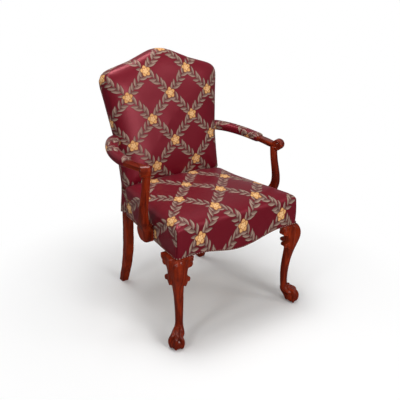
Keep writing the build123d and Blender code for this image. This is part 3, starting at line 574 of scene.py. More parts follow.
# Seat cover: crowned, rolled over the edge, drawn down to a shaped hem
seatLow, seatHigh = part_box("seat_cover")
seat = {
    "frontY": seatLow.y,
    "rearY": seatHigh.y,
    "frontHalf": 0.2890,
    "rearHalf": 0.2388,
    "corner": 0.017,
    "wallTop": 0.456,
    "rearFade": 0.1,
    "pleatDrop": 0.09,
    "pleatReach": 0.05,
    "climbFrom": 0.04,
    "climb": 0.018,
    "crownTop": seatHigh.z,
    "crownExtra": 0.008,
    "roll": 0.18,
    "squareness": 3.0,
    "dome": 0.006,
    "rearRoll": 0.022,
    "pleat": 0.0035,
    "hem": 0.3603,
    "rearHem": 0.4425,
    "apronDip": 0.030,
    "apronReach": 0.205,
    "belly": 0.0025,
    "edgePoints": {"front": 72, "right": 56, "rear": 48, "left": 56},
    "cornerPoints": 10,
    "wallRings": 16,
    "rollRings": 18,
    "topRings": 14,
    "repeat": (0.195, 0.238),
    "flower": (0.072, 0.135),
    "slant": 0.13,
    "thickness": 0.0032,
    "pressure": 4.0,
    "cap": 0.006,
}


def seatHalf(y):
    way = (y - seat["frontY"]) / (seat["rearY"] - seat["frontY"])
    return seat["frontHalf"] + (seat["rearHalf"] - seat["frontHalf"]) * way


def seatLoop(inset):
    # Plan of the seat, anticlockwise from the front left corner: x, y and the side on its left and right
    front = seat["frontY"] + inset
    rear = seat["rearY"] - inset
    corners = [
        Vector((-seatHalf(front) + inset, front)),
        Vector((seatHalf(front) - inset, front)),
        Vector((seatHalf(rear) - inset, rear)),
        Vector((-seatHalf(rear) + inset, rear)),
    ]
    names = ["front", "right", "rear", "left"]
    # The rounding stays within the shortest edge, so no ring folds over itself
    shortest = min((corners[(index + 1) % 4] - corners[index]).length for index in range(4))
    radius = min(seat["corner"] + 0.55 * inset, 0.42 * shortest)
    loop = []
    for index, name in enumerate(names):
        start, end = corners[index], corners[(index + 1) % 4]
        after = corners[(index + 2) % 4]
        heading = (end - start).normalized()
        onward = (after - end).normalized()
        count = seat["edgePoints"][name]
        for step in range(count):
            point = (start + heading * radius).lerp(end - heading * radius, step / (count - 1))
            loop.append((point, name, name))
        for step in range(1, seat["cornerPoints"]):
            way = step / seat["cornerPoints"]
            arrive = (end - heading * radius) * (1 - way) ** 2
            leave = (end + onward * radius) * way**2
            point = arrive + end * 2 * way * (1 - way) + leave
            nextName = names[(index + 1) % 4]
            before = name if way <= 0.5 else nextName
            behind = name if way < 0.5 else nextName
            loop.append((point, before, behind))
    return loop


def hemLevel(x, name):
    if name == "rear":
        return seat["rearHem"]
    if name == "front" and abs(x) < seat["apronReach"]:
        return seat["hem"] - seat["apronDip"] * (0.5 + 0.5 * cos(pi * x / seat["apronReach"]))
    return seat["hem"]


def wallTop(y):
    # The side wall climbs to the back's foot over its last stretch
    way = min(1.0, max(0.0, (y - seat["climbFrom"]) / (seat["rearY"] - seat["climbFrom"])))
    return seat["wallTop"] + seat["climb"] * way * way * (3 - 2 * way)


def crownShare(inset, roll, power):
    # Share of the crown's height at a distance from the edge
    left = max(0.0, 1 - inset / roll)
    return (1 - left**power) ** (1 / power)


def seatRings():
    rings = []
    outer = seatLoop(0)
    middle = Vector((0, (seat["frontY"] + seat["rearY"]) / 2))
    for step in range(seat["wallRings"] + 1):
        way = step / seat["wallRings"]
        ring = []
        swell = seat["belly"] * sin(pi * way)
        for (point, before, behind), (wide, _, _) in zip(outer, seatLoop(-0.01)):
            level = hemLevel(point.x, before)
            push = (wide - point).normalized() * swell if before != "rear" else Vector((0, 0))
            if before != behind and "rear" not in (before, behind):
                push = (wide - point).normalized() * -seat["pleat"] * min(1.0, way * 4)
            height = level + (wallTop(point.y) - level) * way
            ring.append(Vector((point.x + push.x, point.y + push.y, height)))
        rings.append(ring)
    top = seat["crownTop"] + seat["crownExtra"]
    for step in range(1, seat["rollRings"] + 1):
        inset = seat["roll"] * (step / seat["rollRings"]) ** 2.1
        sideLift = crownShare(inset, seat["roll"], seat["squareness"])
        rearLift = crownShare(inset, seat["rearRoll"], seat["squareness"])
        ring = []
        for (point, before, behind), (start, _, _) in zip(seatLoop(inset), outer):
            inward = 0.0
            if before == behind == "rear":
                inward = min(1.0, max(0.0, (seatHalf(start.y) - abs(start.x)) / seat["rearFade"]))
            lift = sideLift + (rearLift - sideLift) * inward
            if before != behind and "rear" not in (before, behind):
                lift -= seat["pleatDrop"] * max(0.0, 1 - inset / seat["pleatReach"])
            base = wallTop(start.y)
            ring.append(Vector((point.x, point.y, base + (top - base) * lift)))
        rings.append(ring)
    inner = [point for point, _, _ in seatLoop(seat["roll"])]
    for step in range(1, seat["topRings"]):
        way = step / seat["topRings"]
        dome = seat["dome"] * sin(pi / 2 * way) ** 2
        ring = []
        for point in inner:
            place = point.lerp(middle, way)
            ring.append(Vector((place.x, place.y, top + dome)))
        rings.append(ring)
    return rings, Vector((middle.x, middle.y, top + seat["dome"]))


def seatUv(x, y):
    across = x - seat["flower"][0] + seat["slant"] * (seat["flower"][1] - y)
    return (across / seat["repeat"][0], (y - seat["flower"][1]) / seat["repeat"][1])


def seatUvs(rings):
    # Cloth lengths run outwards from the flat top, down each side by itself
    # so the corners part like a pleat
    sides = [(before, behind) for _, before, behind in seatLoop(0)]
    outwards = {"front": (0, -1), "rear": (0, 1), "left": (-1, 0), "right": (1, 0)}
    uvs = [None] * len(rings)
    lengths = [[0.0, 0.0] for _ in sides]
    start = rings[-1]
    for row in range(len(rings) - 1, -1, -1):
        line = []
        for column, names in enumerate(sides):
            pair = []
            for which, name in enumerate(names):
                axis = outwards[name]
                point = rings[row][column]
                if row < len(rings) - 1:
                    step = point - rings[row + 1][column]
                    along = step.x * axis[0] + step.y * axis[1]
                    lengths[column][which] += hypot(along, step.z)
                if axis[0]:
                    pair.append(seatUv(start[column].x + axis[0] * lengths[column][which], point.y))
                else:
                    pair.append(seatUv(point.x, start[column].y + axis[1] * lengths[column][which]))
            line.append(tuple(pair))
        uvs[row] = line
    return uvs


rings, pole = seatRings()
seatMesh = skinMesh("seat_cover_cloth", rings, seatUvs(rings), pole, seatUv(pole.x, pole.y))
seatPiece = newPiece("seat_cover_cloth", seatMesh)
heldRings = seat["wallRings"] + 2
held = [1.0 if row < heldRings else 0.0 for row in range(len(rings)) for _ in rings[0]] + [0.0]
stuff(seatPiece, held, seat["pressure"], seat["cap"], len(rings[0]), 13)
hemLine = [vertex.co.copy() for vertex in seatPiece.data.vertices[: len(rings[0])]]
hemSides = [before for _, before, _ in seatLoop(0)]
thicken(seatPiece, seat["thickness"])
hand(seatPiece, damask, "damask", "seat_cover", "seat_foam")
print("seat cover made")

# Back cover: the camel-hump outline of the frame, crowned and wrapped round the edge
back = {
    "rake": radians(11.2),
    "foot": Vector((0.0, 0.180, 0.480)),
    "depth": 0.0353,
    "lowEdge": -0.008,
    "middle": 0.267,
    "halfHeight": 0.275,
    "halfWidth": 0.2695,
    "wallFront": 0.007,
    "crown": 0.037,
    "roll": 0.165,
    "squareness": 2.4,
    "dome": 0.005,
    "belly": 0.005,
    "footRoll": 0.016,
    "footHalf": 0.2315,
    "footFade": 0.1,
    "outlinePoints": 150,
    "lowPoints": 44,
    "wallRings": 9,
    "rollRings": 16,
    "topRings": 14,
    "repeat": (0.193, 0.195),
    "flower": (0.004, 0.168),
    "thickness": 0.0032,
    "pressure": 4.0,
    "cap": 0.007,
}
backUp = Vector((0, sin(back["rake"]), cos(back["rake"])))
backForward = Vector((0, -cos(back["rake"]), sin(back["rake"])))


def backPoint(across, up, forward):
    return back["foot"] + Vector((across, 0, 0)) + backUp * up + backForward * forward


backPanel = nodeTree("outside_back_cover")
panelForward = -back["depth"] - 0.0015


def outlineReach(heading, middle):
    # How far the panel reaches from the middle along a heading in the plane of the back
    far = 0.8
    start = backPoint(heading.x * far, middle + heading.y * far, panelForward)
    aim = backPoint(0, middle, panelForward) - start
    hit = backPanel.ray_cast(start, aim.normalized())
    return far - hit[3]


def backOutline():
    corner = Vector((back["footHalf"], back["lowEdge"] - back["middle"]))
    first = atan2(corner.y, corner.x)
    points = []
    for step in range(back["outlinePoints"]):
        angle = first + (pi - 2 * first) * step / (back["outlinePoints"] - 1)
        heading = Vector((cos(angle), sin(angle)))
        up = back["middle"] + heading.y * 0.3
        if up < 0.02:
            reach = back["footHalf"] / abs(heading.x)
        else:
            reach = outlineReach(heading, back["middle"])
        points.append(Vector((heading.x * reach, max(back["middle"] + heading.y * reach, back["lowEdge"]))))
    left, right = points[-1], points[0]
    for step in range(1, back["lowPoints"]):
        points.append(left.lerp(right, step / back["lowPoints"]))
    return points


backLoop = backOutline()


def backInset(point, inset):
    across = 1 - inset / back["halfWidth"]
    up = 1 - inset / back["halfHeight"]
    return Vector((point.x * across, back["middle"] + (point.y - back["middle"]) * up))


def backRings():
    rings = [[backPoint(*backInset(point, 0.01), -back["depth"]) for point in backLoop]]
    for step in range(back["wallRings"] + 1):
        way = step / back["wallRings"]
        forward = -back["depth"] + (back["depth"] + back["wallFront"]) * way
        swell = -back["belly"] * sin(pi * way)
        rings.append([backPoint(*backInset(point, swell), forward) for point in backLoop])
    for step in range(1, back["rollRings"] + 1):
        inset = back["roll"] * (step / back["rollRings"]) ** 2.1
        edgeLift = crownShare(inset, back["roll"], back["squareness"])
        footLift = crownShare(inset, back["footRoll"], back["squareness"])
        ring = []
        for point in backLoop:
            inward = 0.0
            if point.y < back["lowEdge"] + 0.001:
                inward = min(1.0, max(0.0, (back["footHalf"] - abs(point.x)) / back["footFade"]))
            lift = edgeLift + (footLift - edgeLift) * inward
            ring.append(backPoint(*backInset(point, inset), back["wallFront"] + back["crown"] * lift))
        rings.append(ring)
    top = back["wallFront"] + back["crown"]
    middle = Vector((0, back["middle"]))
    for step in range(1, back["topRings"]):
        way = step / back["topRings"]
        forward = top + back["dome"] * sin(pi / 2 * way) ** 2
        inner = [backInset(point, back["roll"]).lerp(middle, way) for point in backLoop]
        rings.append([backPoint(*place, forward) for place in inner])
    return rings, backPoint(0, back["middle"], top + back["dome"])


def backUv(across, up):
    return ((across - back["flower"][0]) / back["repeat"][0], (up - back["flower"][1]) / back["repeat"][1])


def backUvs(rings, pole):
    uvs = [None] * len(rings)
    lengths = [0.0] * len(backLoop)
    previous = [pole] * len(backLoop)
    for row in range(len(rings) - 1, -1, -1):
        line = []
        for column, point in enumerate(rings[row]):
            lengths[column] += (point - previous[column]).length
            inner = backInset(backLoop[column], back["roll"]) - Vector((0, back["middle"]))
            heading = inner.normalized() * lengths[column]
            uv = backUv(heading.x, back["middle"] + heading.y)
            line.append((uv, uv))
        uvs[row] = line
        previous = rings[row]
    return uvs


rings, pole = backRings()
backMesh = skinMesh("inside_back_cloth", rings, backUvs(rings, pole), pole, backUv(0, back["middle"]))
backPiece = newPiece("inside_back_cloth", backMesh)
held = [1.0 if row < back["wallRings"] + 1 else 0.0 for row in range(len(rings)) for _ in rings[0]] + [0.0]
stuff(backPiece, held, back["pressure"], back["cap"], len(rings[0]), 8)
thicken(backPiece, back["thickness"])
hand(backPiece, damask, "damask", "inside_back_cover", "back_foam", "back_lining")
print("back cover made")


# Flat cloths: rows of points with their own lengths as pattern
def clothGrid(name, rows, repeat, flower):
    points = [point for row in rows for point in row]
    count = len(rows[0])
    faces = []
    for row in range(len(rows) - 1):
        for column in range(count - 1):
            base = row * count + column
            faces.append((base, base + 1, base + count + 1, base + count))
    flat = []
    for row, line in enumerate(rows):
        width = 0.0
        for column, point in enumerate(line):
            if column:
                width += (point - line[column - 1]).length
            below = 0.0
            if row:
                below = flat[(row - 1) * count + column][1] + (point - rows[row - 1][column]).length
            flat.append((width, below))
    for row in range(len(rows)):
        half = flat[row * count + count - 1][0] / 2
        for column in range(count):
            width, up = flat[row * count + column]
            flat[row * count + column] = (width - half, up)
    mesh = bpy.data.meshes.new(name)
    mesh.from_pydata(points, [], faces)
    layer = mesh.uv_layers.new(name="cloth")
    for polygon in mesh.polygons:
        for corner in polygon.loop_indices:
            across, up = flat[mesh.loops[corner].vertex_index]
            layer.data[corner].uv = ((across - flower[0]) / repeat, (up - flower[1]) / repeat)
    shadeSmooth(mesh)
    return newPiece(name, mesh)


outsideBack = {
    "low": 0.3605,
    "bend": 0.4731,
    "rearY": 0.2165,
    "columns": 48,
    "lowRows": 12,
    "rows": 56,
    "shoulder": 0.415,
    "thickness": 0.0018,
    "repeat": 0.194,
    "flower": (0.0, 0.27),
}


def panelHalf(up):
    start = backPoint(0.6, up, panelForward)
    return 0.6 - backPanel.ray_cast(start, Vector((-1, 0, 0)))[3]


def panelTop(across):
    start = backPoint(across, 0.9, panelForward)
    return 0.9 - backPanel.ray_cast(start, -backUp)[3]


def panelLowHalf(level):
    start = Vector((0.6, outsideBack["rearY"] + 0.0012, level))
    return 0.6 - backPanel.ray_cast(start, Vector((-1, 0, 0)))[3]


def outsideRows():
    columns = outsideBack["columns"]
    shares = [-1 + 2 * column / columns for column in range(columns + 1)]
    rows = []
    for step in range(outsideBack["lowRows"] + 1):
        tall = outsideBack["bend"] - 0.002 - outsideBack["low"]
        level = outsideBack["low"] + 0.0003 + tall * step / outsideBack["lowRows"]
        half = panelLowHalf(level)
        rows.append([Vector((share * half, outsideBack["rearY"] + 0.0024, level)) for share in shares])
    shoulder = panelHalf(outsideBack["shoulder"])
    tops = [panelTop(share * shoulder * 0.999) - 0.0005 for share in shares]
    for step in range(1, outsideBack["rows"] + 1):
        row = []
        for share, top in zip(shares, tops):
            up = 0.008 + (top - 0.008) * step / outsideBack["rows"]
            half = panelHalf(min(up, outsideBack["shoulder"]))
            row.append(backPoint(share * half, up, -back["depth"] - 0.0026))
        rows.append(row)
    return rows


outsidePiece = clothGrid("outside_back_cloth", outsideRows(), outsideBack["repeat"], outsideBack["flower"])
thicken(outsidePiece, outsideBack["thickness"])
hand(outsidePiece, damask, "damask", "outside_back_cover")
print("outside back made")

postCover = {"thickness": 0.0034, "rows": 14, "columns": 8, "repeat": 0.194, "flower": (0.05, 0.06)}
for side in ("left", "right"):
    node = f"rear_post_cover_{side}"
    low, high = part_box(node)
    tree = nodeTree(node)
    sign = 1 if side == "right" else -1
    rows = []
    for step in range(postCover["rows"] + 1):
        level = low.z + 0.0005 + (high.z - low.z - 0.009) * step / postCover["rows"]
        start = Vector((sign * 0.6, (low.y + high.y) / 2, level))
        half = 0.6 - tree.ray_cast(start, Vector((-sign, 0, 0)))[3]
        columns = postCover["columns"]
        ys = [low.y + (high.y - low.y) * column / columns for column in range(columns + 1)]
        if sign < 0:
            ys.reverse()
        rows.append([Vector((sign * half, y, level)) for y in ys])
    piece = clothGrid(node + "_cloth", rows, postCover["repeat"], postCover["flower"])
    thicken(piece, postCover["thickness"])
    hand(piece, damask, "damask", node)
print("post covers made")

# Arm pads: a stuffed sleeve along the rear of each arm
armPad = {
    "line": [
        (0.229, 0.237, 0.668),
        (0.262, 0.216, 0.666),
        (0.294, 0.165, 0.661),
        (0.315, 0.095, 0.654),
        (0.321, 0.020, 0.648),
        (0.313, -0.052, 0.648),
    ],
    "start": 0.25,
    "end": 4.2,
    "lift": 0.003,
    "width": 0.054,
    "thickness": 0.044,
    "taper": 0.035,
    "squareness": 2.5,
    "capLength": 0.013,
    "armWidth": 0.033,
    "armThickness": 0.019,
    "around": 44,
    "along": 46,
    "capRings": 7,
    "repeat": 0.194,
    "flower": (0.06, 0.02),
    "pressure": 3.0,
    "cap": 0.003,
}


def pathAt(points, way):
    # Smooth line through the points; way counts points
    last = len(points) - 1
    index = min(int(way), last - 1)
    part = way - index
    around = [points[min(max(index + offset, 0), last)] for offset in (-1, 0, 1, 2)]
    a, b, c, d = (Vector(point) for point in around)
    square = (2 * a - 5 * b + 4 * c - d) * part**2
    cube = (3 * b - a - 3 * c + d) * part**3
    return 0.5 * (2 * b + (c - a) * part + square + cube)


def superRing(centre, across, up, width, thickness, power, count):
    ring = []
    for step in range(count):
        angle = 2 * pi * step / count
        x = abs(cos(angle)) ** (2 / power) * (1 if cos(angle) >= 0 else -1)
        y = abs(sin(angle)) ** (2 / power) * (1 if sin(angle) >= 0 else -1)
        ring.append(centre + across * (x * width / 2) + up * (y * thickness / 2))
    return ring


def padRings():
    rings = []
    total = armPad["along"] + armPad["capRings"]
    for step in range(total + 1):
        inCap = step - armPad["along"]
        way = armPad["start"] + (armPad["end"] - armPad["start"]) * min(step / armPad["along"], 1)
        centre = pathAt(armPad["line"], way)
        heading = (pathAt(armPad["line"], way + 0.02) - pathAt(armPad["line"], way - 0.02)).normalized()
        across = Vector((-heading.y, heading.x, 0)).normalized()
        up = heading.cross(across)
        if up.z < 0:
            up = -up
        size = 1 - armPad["taper"] * way
        width, thickness, lift = armPad["width"] * size, armPad["thickness"] * size, armPad["lift"]
        if inCap > 0:
            part = inCap / armPad["capRings"]
            centre = centre + heading * (armPad["capLength"] * sin(part * pi / 2))
            draw = 1 - cos(part * pi / 2)
            width += (armPad["armWidth"] - width) * draw
            thickness += (armPad["armThickness"] - thickness) * draw
            lift *= 1 - draw
        shape = (width, thickness, armPad["squareness"], armPad["around"])
        rings.append(superRing(centre + up * lift, across, up, *shape))
    return rings


def padMesh(name, sign):
    rings = padRings()
    count = armPad["around"]
    points = [Vector((sign * point.x, point.y, point.z)) for ring in rings for point in ring]
    faces = []
    uvs = []
    along = 0.0
    alongs = [0.0]
    for row in range(1, len(rings)):
        along += sum((a - b).length for a, b in zip(rings[row], rings[row - 1])) / count
        alongs.append(along)
    girth = sum((rings[20][step] - rings[20][step - 1]).length for step in range(count))
    for row in range(len(rings) - 1):
        for column in range(count):
            after = (column + 1) % count
            face = quadAt(row, column, after, count)
            # Length round the pad from its top, so the join lies underneath
            turns = [(column - count * 0.25) % count, (column - count * 0.25) % count + 1]
            arounds = [((turn + count / 2) % count - count / 2) * girth / count for turn in turns]
            if arounds[1] < arounds[0]:
                arounds[1] += girth
            near, far = [(around - armPad["flower"][0]) / armPad["repeat"] for around in arounds]
            span = alongs[row : row + 2]
            low, high = [(length - armPad["flower"][1]) / armPad["repeat"] for length in span]
            uv = [(near, low), (far, low), (far, high), (near, high)]
            if sign > 0:
                face.reverse()
                uv.reverse()
            faces.append(face)
            uvs.append(uv)
    mesh = bpy.data.meshes.new(name)
    mesh.from_pydata(points, [], faces)
    writeUvs(mesh, uvs)
    shadeSmooth(mesh)
    return mesh, len(rings)


for side, sign in (("left", -1), ("right", 1)):
    mesh, ringCount = padMesh(f"arm_pad_{side}", sign)
    piece = newPiece(f"arm_pad_{side}", mesh)
    held = []
    for row in range(ringCount):
        held += [1.0 if row < 2 or row > ringCount - 4 else 0.0] * armPad["around"]
    stuff(piece, held, armPad["pressure"], armPad["cap"], armPad["around"], 0)
    smooth = piece.modifiers.new("rounds", "SUBSURF")
    smooth.levels = 1
    smooth.render_levels = 1
    settle(piece)
    hand(piece, damask, "damask", f"arm_cover_{side}", f"arm_padding_{side}")
print("arm pads made")

# Straps and lining under the seat
strap = {"width": 0.05, "thickness": 0.0014, "rise": 0.0008, "count": 5, "steps": 60}


def strapPiece(name, node, lengthwise):
    low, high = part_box(node)
    middle = (low.z + high.z) / 2
    points = []
    faces = []
    start, end = (low.y, high.y) if lengthwise else (low.x, high.x)
    first, last = (low.x, high.x) if lengthwise else (low.y, high.y)
    gap = (last - first - strap["width"]) / (strap["count"] - 1)
    for index in range(strap["count"]):
        centre = first + strap["width"] / 2 + gap * index
        reach = 1.0 if lengthwise else (0.952 + 0.048 * (1 - index / (strap["count"] - 1)))
        base = len(points)
        for step in range(strap["steps"] + 1):
            way = step / strap["steps"]
            along = start + (end - start) * way
            if not lengthwise:
                along = along * reach * 0.99
            sign = -1 if (index % 2) == (0 if lengthwise else 1) else 1
            lift = strap["rise"] * sign * sin(pi * 5 * way)
            for edge in (-0.5, -0.25, 0, 0.25, 0.5):
                side = centre + edge * strap["width"]
                points.append((side, along, middle + lift) if lengthwise else (along, side, middle + lift))
        for step in range(strap["steps"]):
            for edge in range(4):
                corner = base + step * 5 + edge
                face = (corner, corner + 1, corner + 6, corner + 5)
                faces.append(face if lengthwise else face[::-1])
    mesh = bpy.data.meshes.new(name)
    mesh.from_pydata(points, [], faces)
    shadeSmooth(mesh)
    piece = newPiece(name, mesh)
    thicken(piece, strap["thickness"] * 0.8, 0)
    hand(piece, webbing, "webbing", node)
    return piece


strapPiece("seat_straps_long", "seat_webbing_long", True)
strapPiece("seat_straps_cross", "seat_webbing_cross", False)
liningLow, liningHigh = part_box("seat_lining")
lining = {"rows": 16, "columns": 20, "inset": 0.0146, "slack": 0.995, "drop": 0.0002, "thickness": 0.0008}
liningShares = [column / (lining["columns"] / 2) - 1 for column in range(lining["columns"] + 1)]
liningRows = []
for step in range(lining["rows"] + 1):
    y = liningLow.y + (liningHigh.y - liningLow.y) * step / lining["rows"]
    half = (seatHalf(y) - lining["inset"]) * lining["slack"]
    level = liningHigh.z - lining["drop"]
    liningRows.append([Vector((half * share, y, level)) for share in liningShares])
liningPiece = clothGrid("seat_lining_cloth", liningRows, 1.0, (0, 0))
thicken(liningPiece, lining["thickness"])
hand(liningPiece, hessian, "lining", "seat_lining")
print("straps and lining made")

# Show wood: the frame's shapes with their edges eased as a carver leaves them
woodWork = {
    "rear_post": {"voxel": 0.0022, "rounds": 4, "material": mahogany},
    "arm_support": {"voxel": 0.0016, "rounds": 4, "material": mahogany},
    "arm": {"voxel": 0.0014, "rounds": 3, "material": mahoganyArm},
}


def joinedCopy(nodes, name):
    work = bmesh.new()
    for node in nodes:
        work.from_mesh(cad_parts[node].data)
    bmesh.ops.remove_doubles(work, verts=work.verts, dist=2e-6)
    mesh = bpy.data.meshes.new(name)
    work.to_mesh(mesh)
    work.free()
    return newPiece(name, mesh)


def recut(piece, voxel):
    remesh = piece.modifiers.new("recut", "REMESH")
    remesh.mode = "VOXEL"
    remesh.voxel_size = voxel
    remesh.use_smooth_shade = True


def rub(piece, rounds):
    smooth = piece.modifiers.new("rubbed", "SMOOTH")
    smooth.factor = 0.5
    smooth.iterations = rounds


def swellOut(piece, amount):
    shift = piece.modifiers.new("swell", "DISPLACE")
    shift.mid_level = 0
    shift.strength = amount


def easedWood(node, work):
    piece = joinedCopy([node], node + "_wood")
    recut(piece, work["voxel"])
    rub(piece, work["rounds"])
    settle(piece)
    return hand(piece, work["material"], "mahogany", node)


# Front legs: the ears run into the knee without a joint, and end in carved scrolls
knee = {
    "voxel": 0.0014,
    "blend": 0.009,
    "swell": 0.003,
    "swellLevel": 0.337,
    "swellTall": 0.026,
    "swellWide": 0.034,
    "swellReach": 0.09,
    "blendFrom": 0.215,
    "rounds": 5,
    # along the rail from the ear's end, height and radius of each scroll
    "scrolls": [(0.0105, 0.3475, 0.0115), (0.0065, 0.2705, 0.0078)],
    "scrollProud": 0.0022,
    "scrollDepth": 0.012,
    "grooveWidth": 0.0026,
    "grooveDepth": 0.0026,
    "grooveReach": 0.008,
}


def scrollDisc(work, centre, axis, radius, depth):
    turn = axis.to_track_quat("Z", "Y").to_matrix().to_4x4()
    place = Matrix.Translation(centre - axis * (depth / 2)) @ turn
    bmesh.ops.create_cone(
        work, cap_ends=True, segments=32, radius1=radius, radius2=radius * 0.86, depth=depth, matrix=place
    )


def scrollLine(centre, axis, radius):
    # Spiral from the rim to the eye, in the plane of the scroll
    across = axis.orthogonal().normalized()
    other = axis.cross(across)
    points = []
    for step in range(90):
        way = step / 89
        angle = 2 * pi * 1.4 * way
        reach = radius * (0.78 - 0.6 * way)
        points.append(centre + across * (cos(angle) * reach) + other * (sin(angle) * reach))
    return points


def incise(piece, points, axis, width, depth):
    tree = KDTree(len(points))
    for index, point in enumerate(points):
        tree.insert(point, index)
    tree.balance()
    normals = [vertex.normal.copy() for vertex in piece.data.vertices]
    for vertex, normal in zip(piece.data.vertices, normals):
        near, _, distance = tree.find(vertex.co)
        offset = vertex.co - near
        offset -= axis * offset.dot(axis)
        if distance < knee["grooveReach"] and offset.length < width and normal.dot(axis) > 0.3:
            vertex.co -= axis * (depth * (1 - (offset.length / width) ** 2) ** 2)
    piece.data.update()


def earScrolls(side, sign):
    # Middle, axis and radius of each scroll, found on the face of the ear
    scrolls = []
    for node, axis, rail in (
        (f"front_knee_ear_{side}", Vector((0, -1, 0)), Vector((sign, 0, 0))),
        (f"side_knee_ear_{side}", Vector((sign, 0, 0)), Vector((0, -1, 0))),
    ):
        tree = nodeTree(node)
        low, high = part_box(node)
        for along, level, radius in knee["scrolls"]:
            # The ear's edge at this level, looked for from the middle of the rail
            depth = (low + high) / 2
            start = Vector((depth.x, depth.y, level)) - rail * 0.2
            edge = tree.ray_cast(start, rail)[0]
            if edge is None:
                continue
            centre = edge + rail * along
            face = tree.ray_cast(centre + axis * 0.2, -axis)[0]
            if face is None:
                continue
            scrolls.append((face + axis * knee["scrollProud"], axis, radius))
    return scrolls


def fullerKnee(piece, side, sign):
    # The knee bows out along the corner's diagonal
    outward = Vector((sign, -1, 0)).normalized()
    aside = Vector((1, sign, 0)).normalized()
    frontLow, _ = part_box(f"front_knee_ear_{side}")
    sideLow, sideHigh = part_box(f"side_knee_ear_{side}")
    outerX = sideHigh.x if sign > 0 else sideLow.x
    corner = Vector((outerX, frontLow.y, knee["swellLevel"]))
    normals = [vertex.normal.copy() for vertex in piece.data.vertices]
    for vertex, normal in zip(piece.data.vertices, normals):
        facing = normal.dot(outward)
        offset = vertex.co - corner
        if facing <= 0 or abs(offset.z) > knee["swellReach"]:
            continue
        spread = (offset.z / knee["swellTall"]) ** 2 + (offset.dot(aside) / knee["swellWide"]) ** 2
        vertex.co += outward * (knee["swell"] * facing * exp(-spread))
    piece.data.update()


def frontLeg(side, sign):
    nodes = [f"front_leg_{side}", f"front_knee_ear_{side}", f"side_knee_ear_{side}"]
    scrolls = earScrolls(side, sign)
    blend = joinedCopy(nodes, f"knee_blend_{side}")
    work = bmesh.new()
    work.from_mesh(blend.data)
    everything = [*work.verts, *work.edges, *work.faces]
    cut = bmesh.ops.bisect_plane(
        work, geom=everything, plane_co=(0, 0, knee["blendFrom"]), plane_no=(0, 0, -1), clear_outer=True
    )
    edges = [part for part in cut["geom_cut"] if isinstance(part, bmesh.types.BMEdge)]
    bmesh.ops.edgeloop_fill(work, edges=edges)
    work.to_mesh(blend.data)
    work.free()
    recut(blend, knee["voxel"])
    rub(blend, 2)
    swellOut(blend, knee["blend"])
    recut(blend, knee["voxel"])
    rub(blend, 2)
    swellOut(blend, -knee["blend"])
    settle(blend)
    piece = joinedCopy(nodes, f"front_leg_{side}_wood")
    work = bmesh.new()
    work.from_mesh(piece.data)
    work.from_mesh(blend.data)
    for centre, axis, radius in scrolls:
        scrollDisc(work, centre, axis, radius, knee["scrollDepth"])
    work.to_mesh(piece.data)
    work.free()
    bpy.data.objects.remove(blend)
    recut(piece, knee["voxel"])
    rub(piece, knee["rounds"])
    settle(piece)
    fullerKnee(piece, side, sign)
    for centre, axis, radius in scrolls:
        incise(piece, scrollLine(centre, axis, radius), axis, knee["grooveWidth"], knee["grooveDepth"])
    return hand(piece, mahogany, "mahogany", *nodes)


for side, sign in (("left", -1), ("right", 1)):
    frontLeg(side, sign)
print("front legs made")
for name, work in woodWork.items():
    for side in ("left", "right"):
        easedWood(f"{name}_{side}", work)
print("show wood made")

# Hidden frame and its screws keep the frame's own meshes
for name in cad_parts:
    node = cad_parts[name]
    if node.hide_render:
        continue
    node.data.materials.clear()
    node.data.materials.append(screwSteel if "screws" in name else sawnWood)

# Gimp: a thin cord with small ivory beads along the hem of the seat and the edges of the supports
gimp = {
    "cordRadius": 0.0018,
    "beadRadius": 0.002,
    "beadGap": 0.0105,
    "stand": 0.001,
    "lift": 0.0024,
    "fromSide": 0.0035,
    "supportY": -0.08,
    "supportFrom": 0.004,
    "supportTop": 0.462,
    "pointGap": 0.002,
}


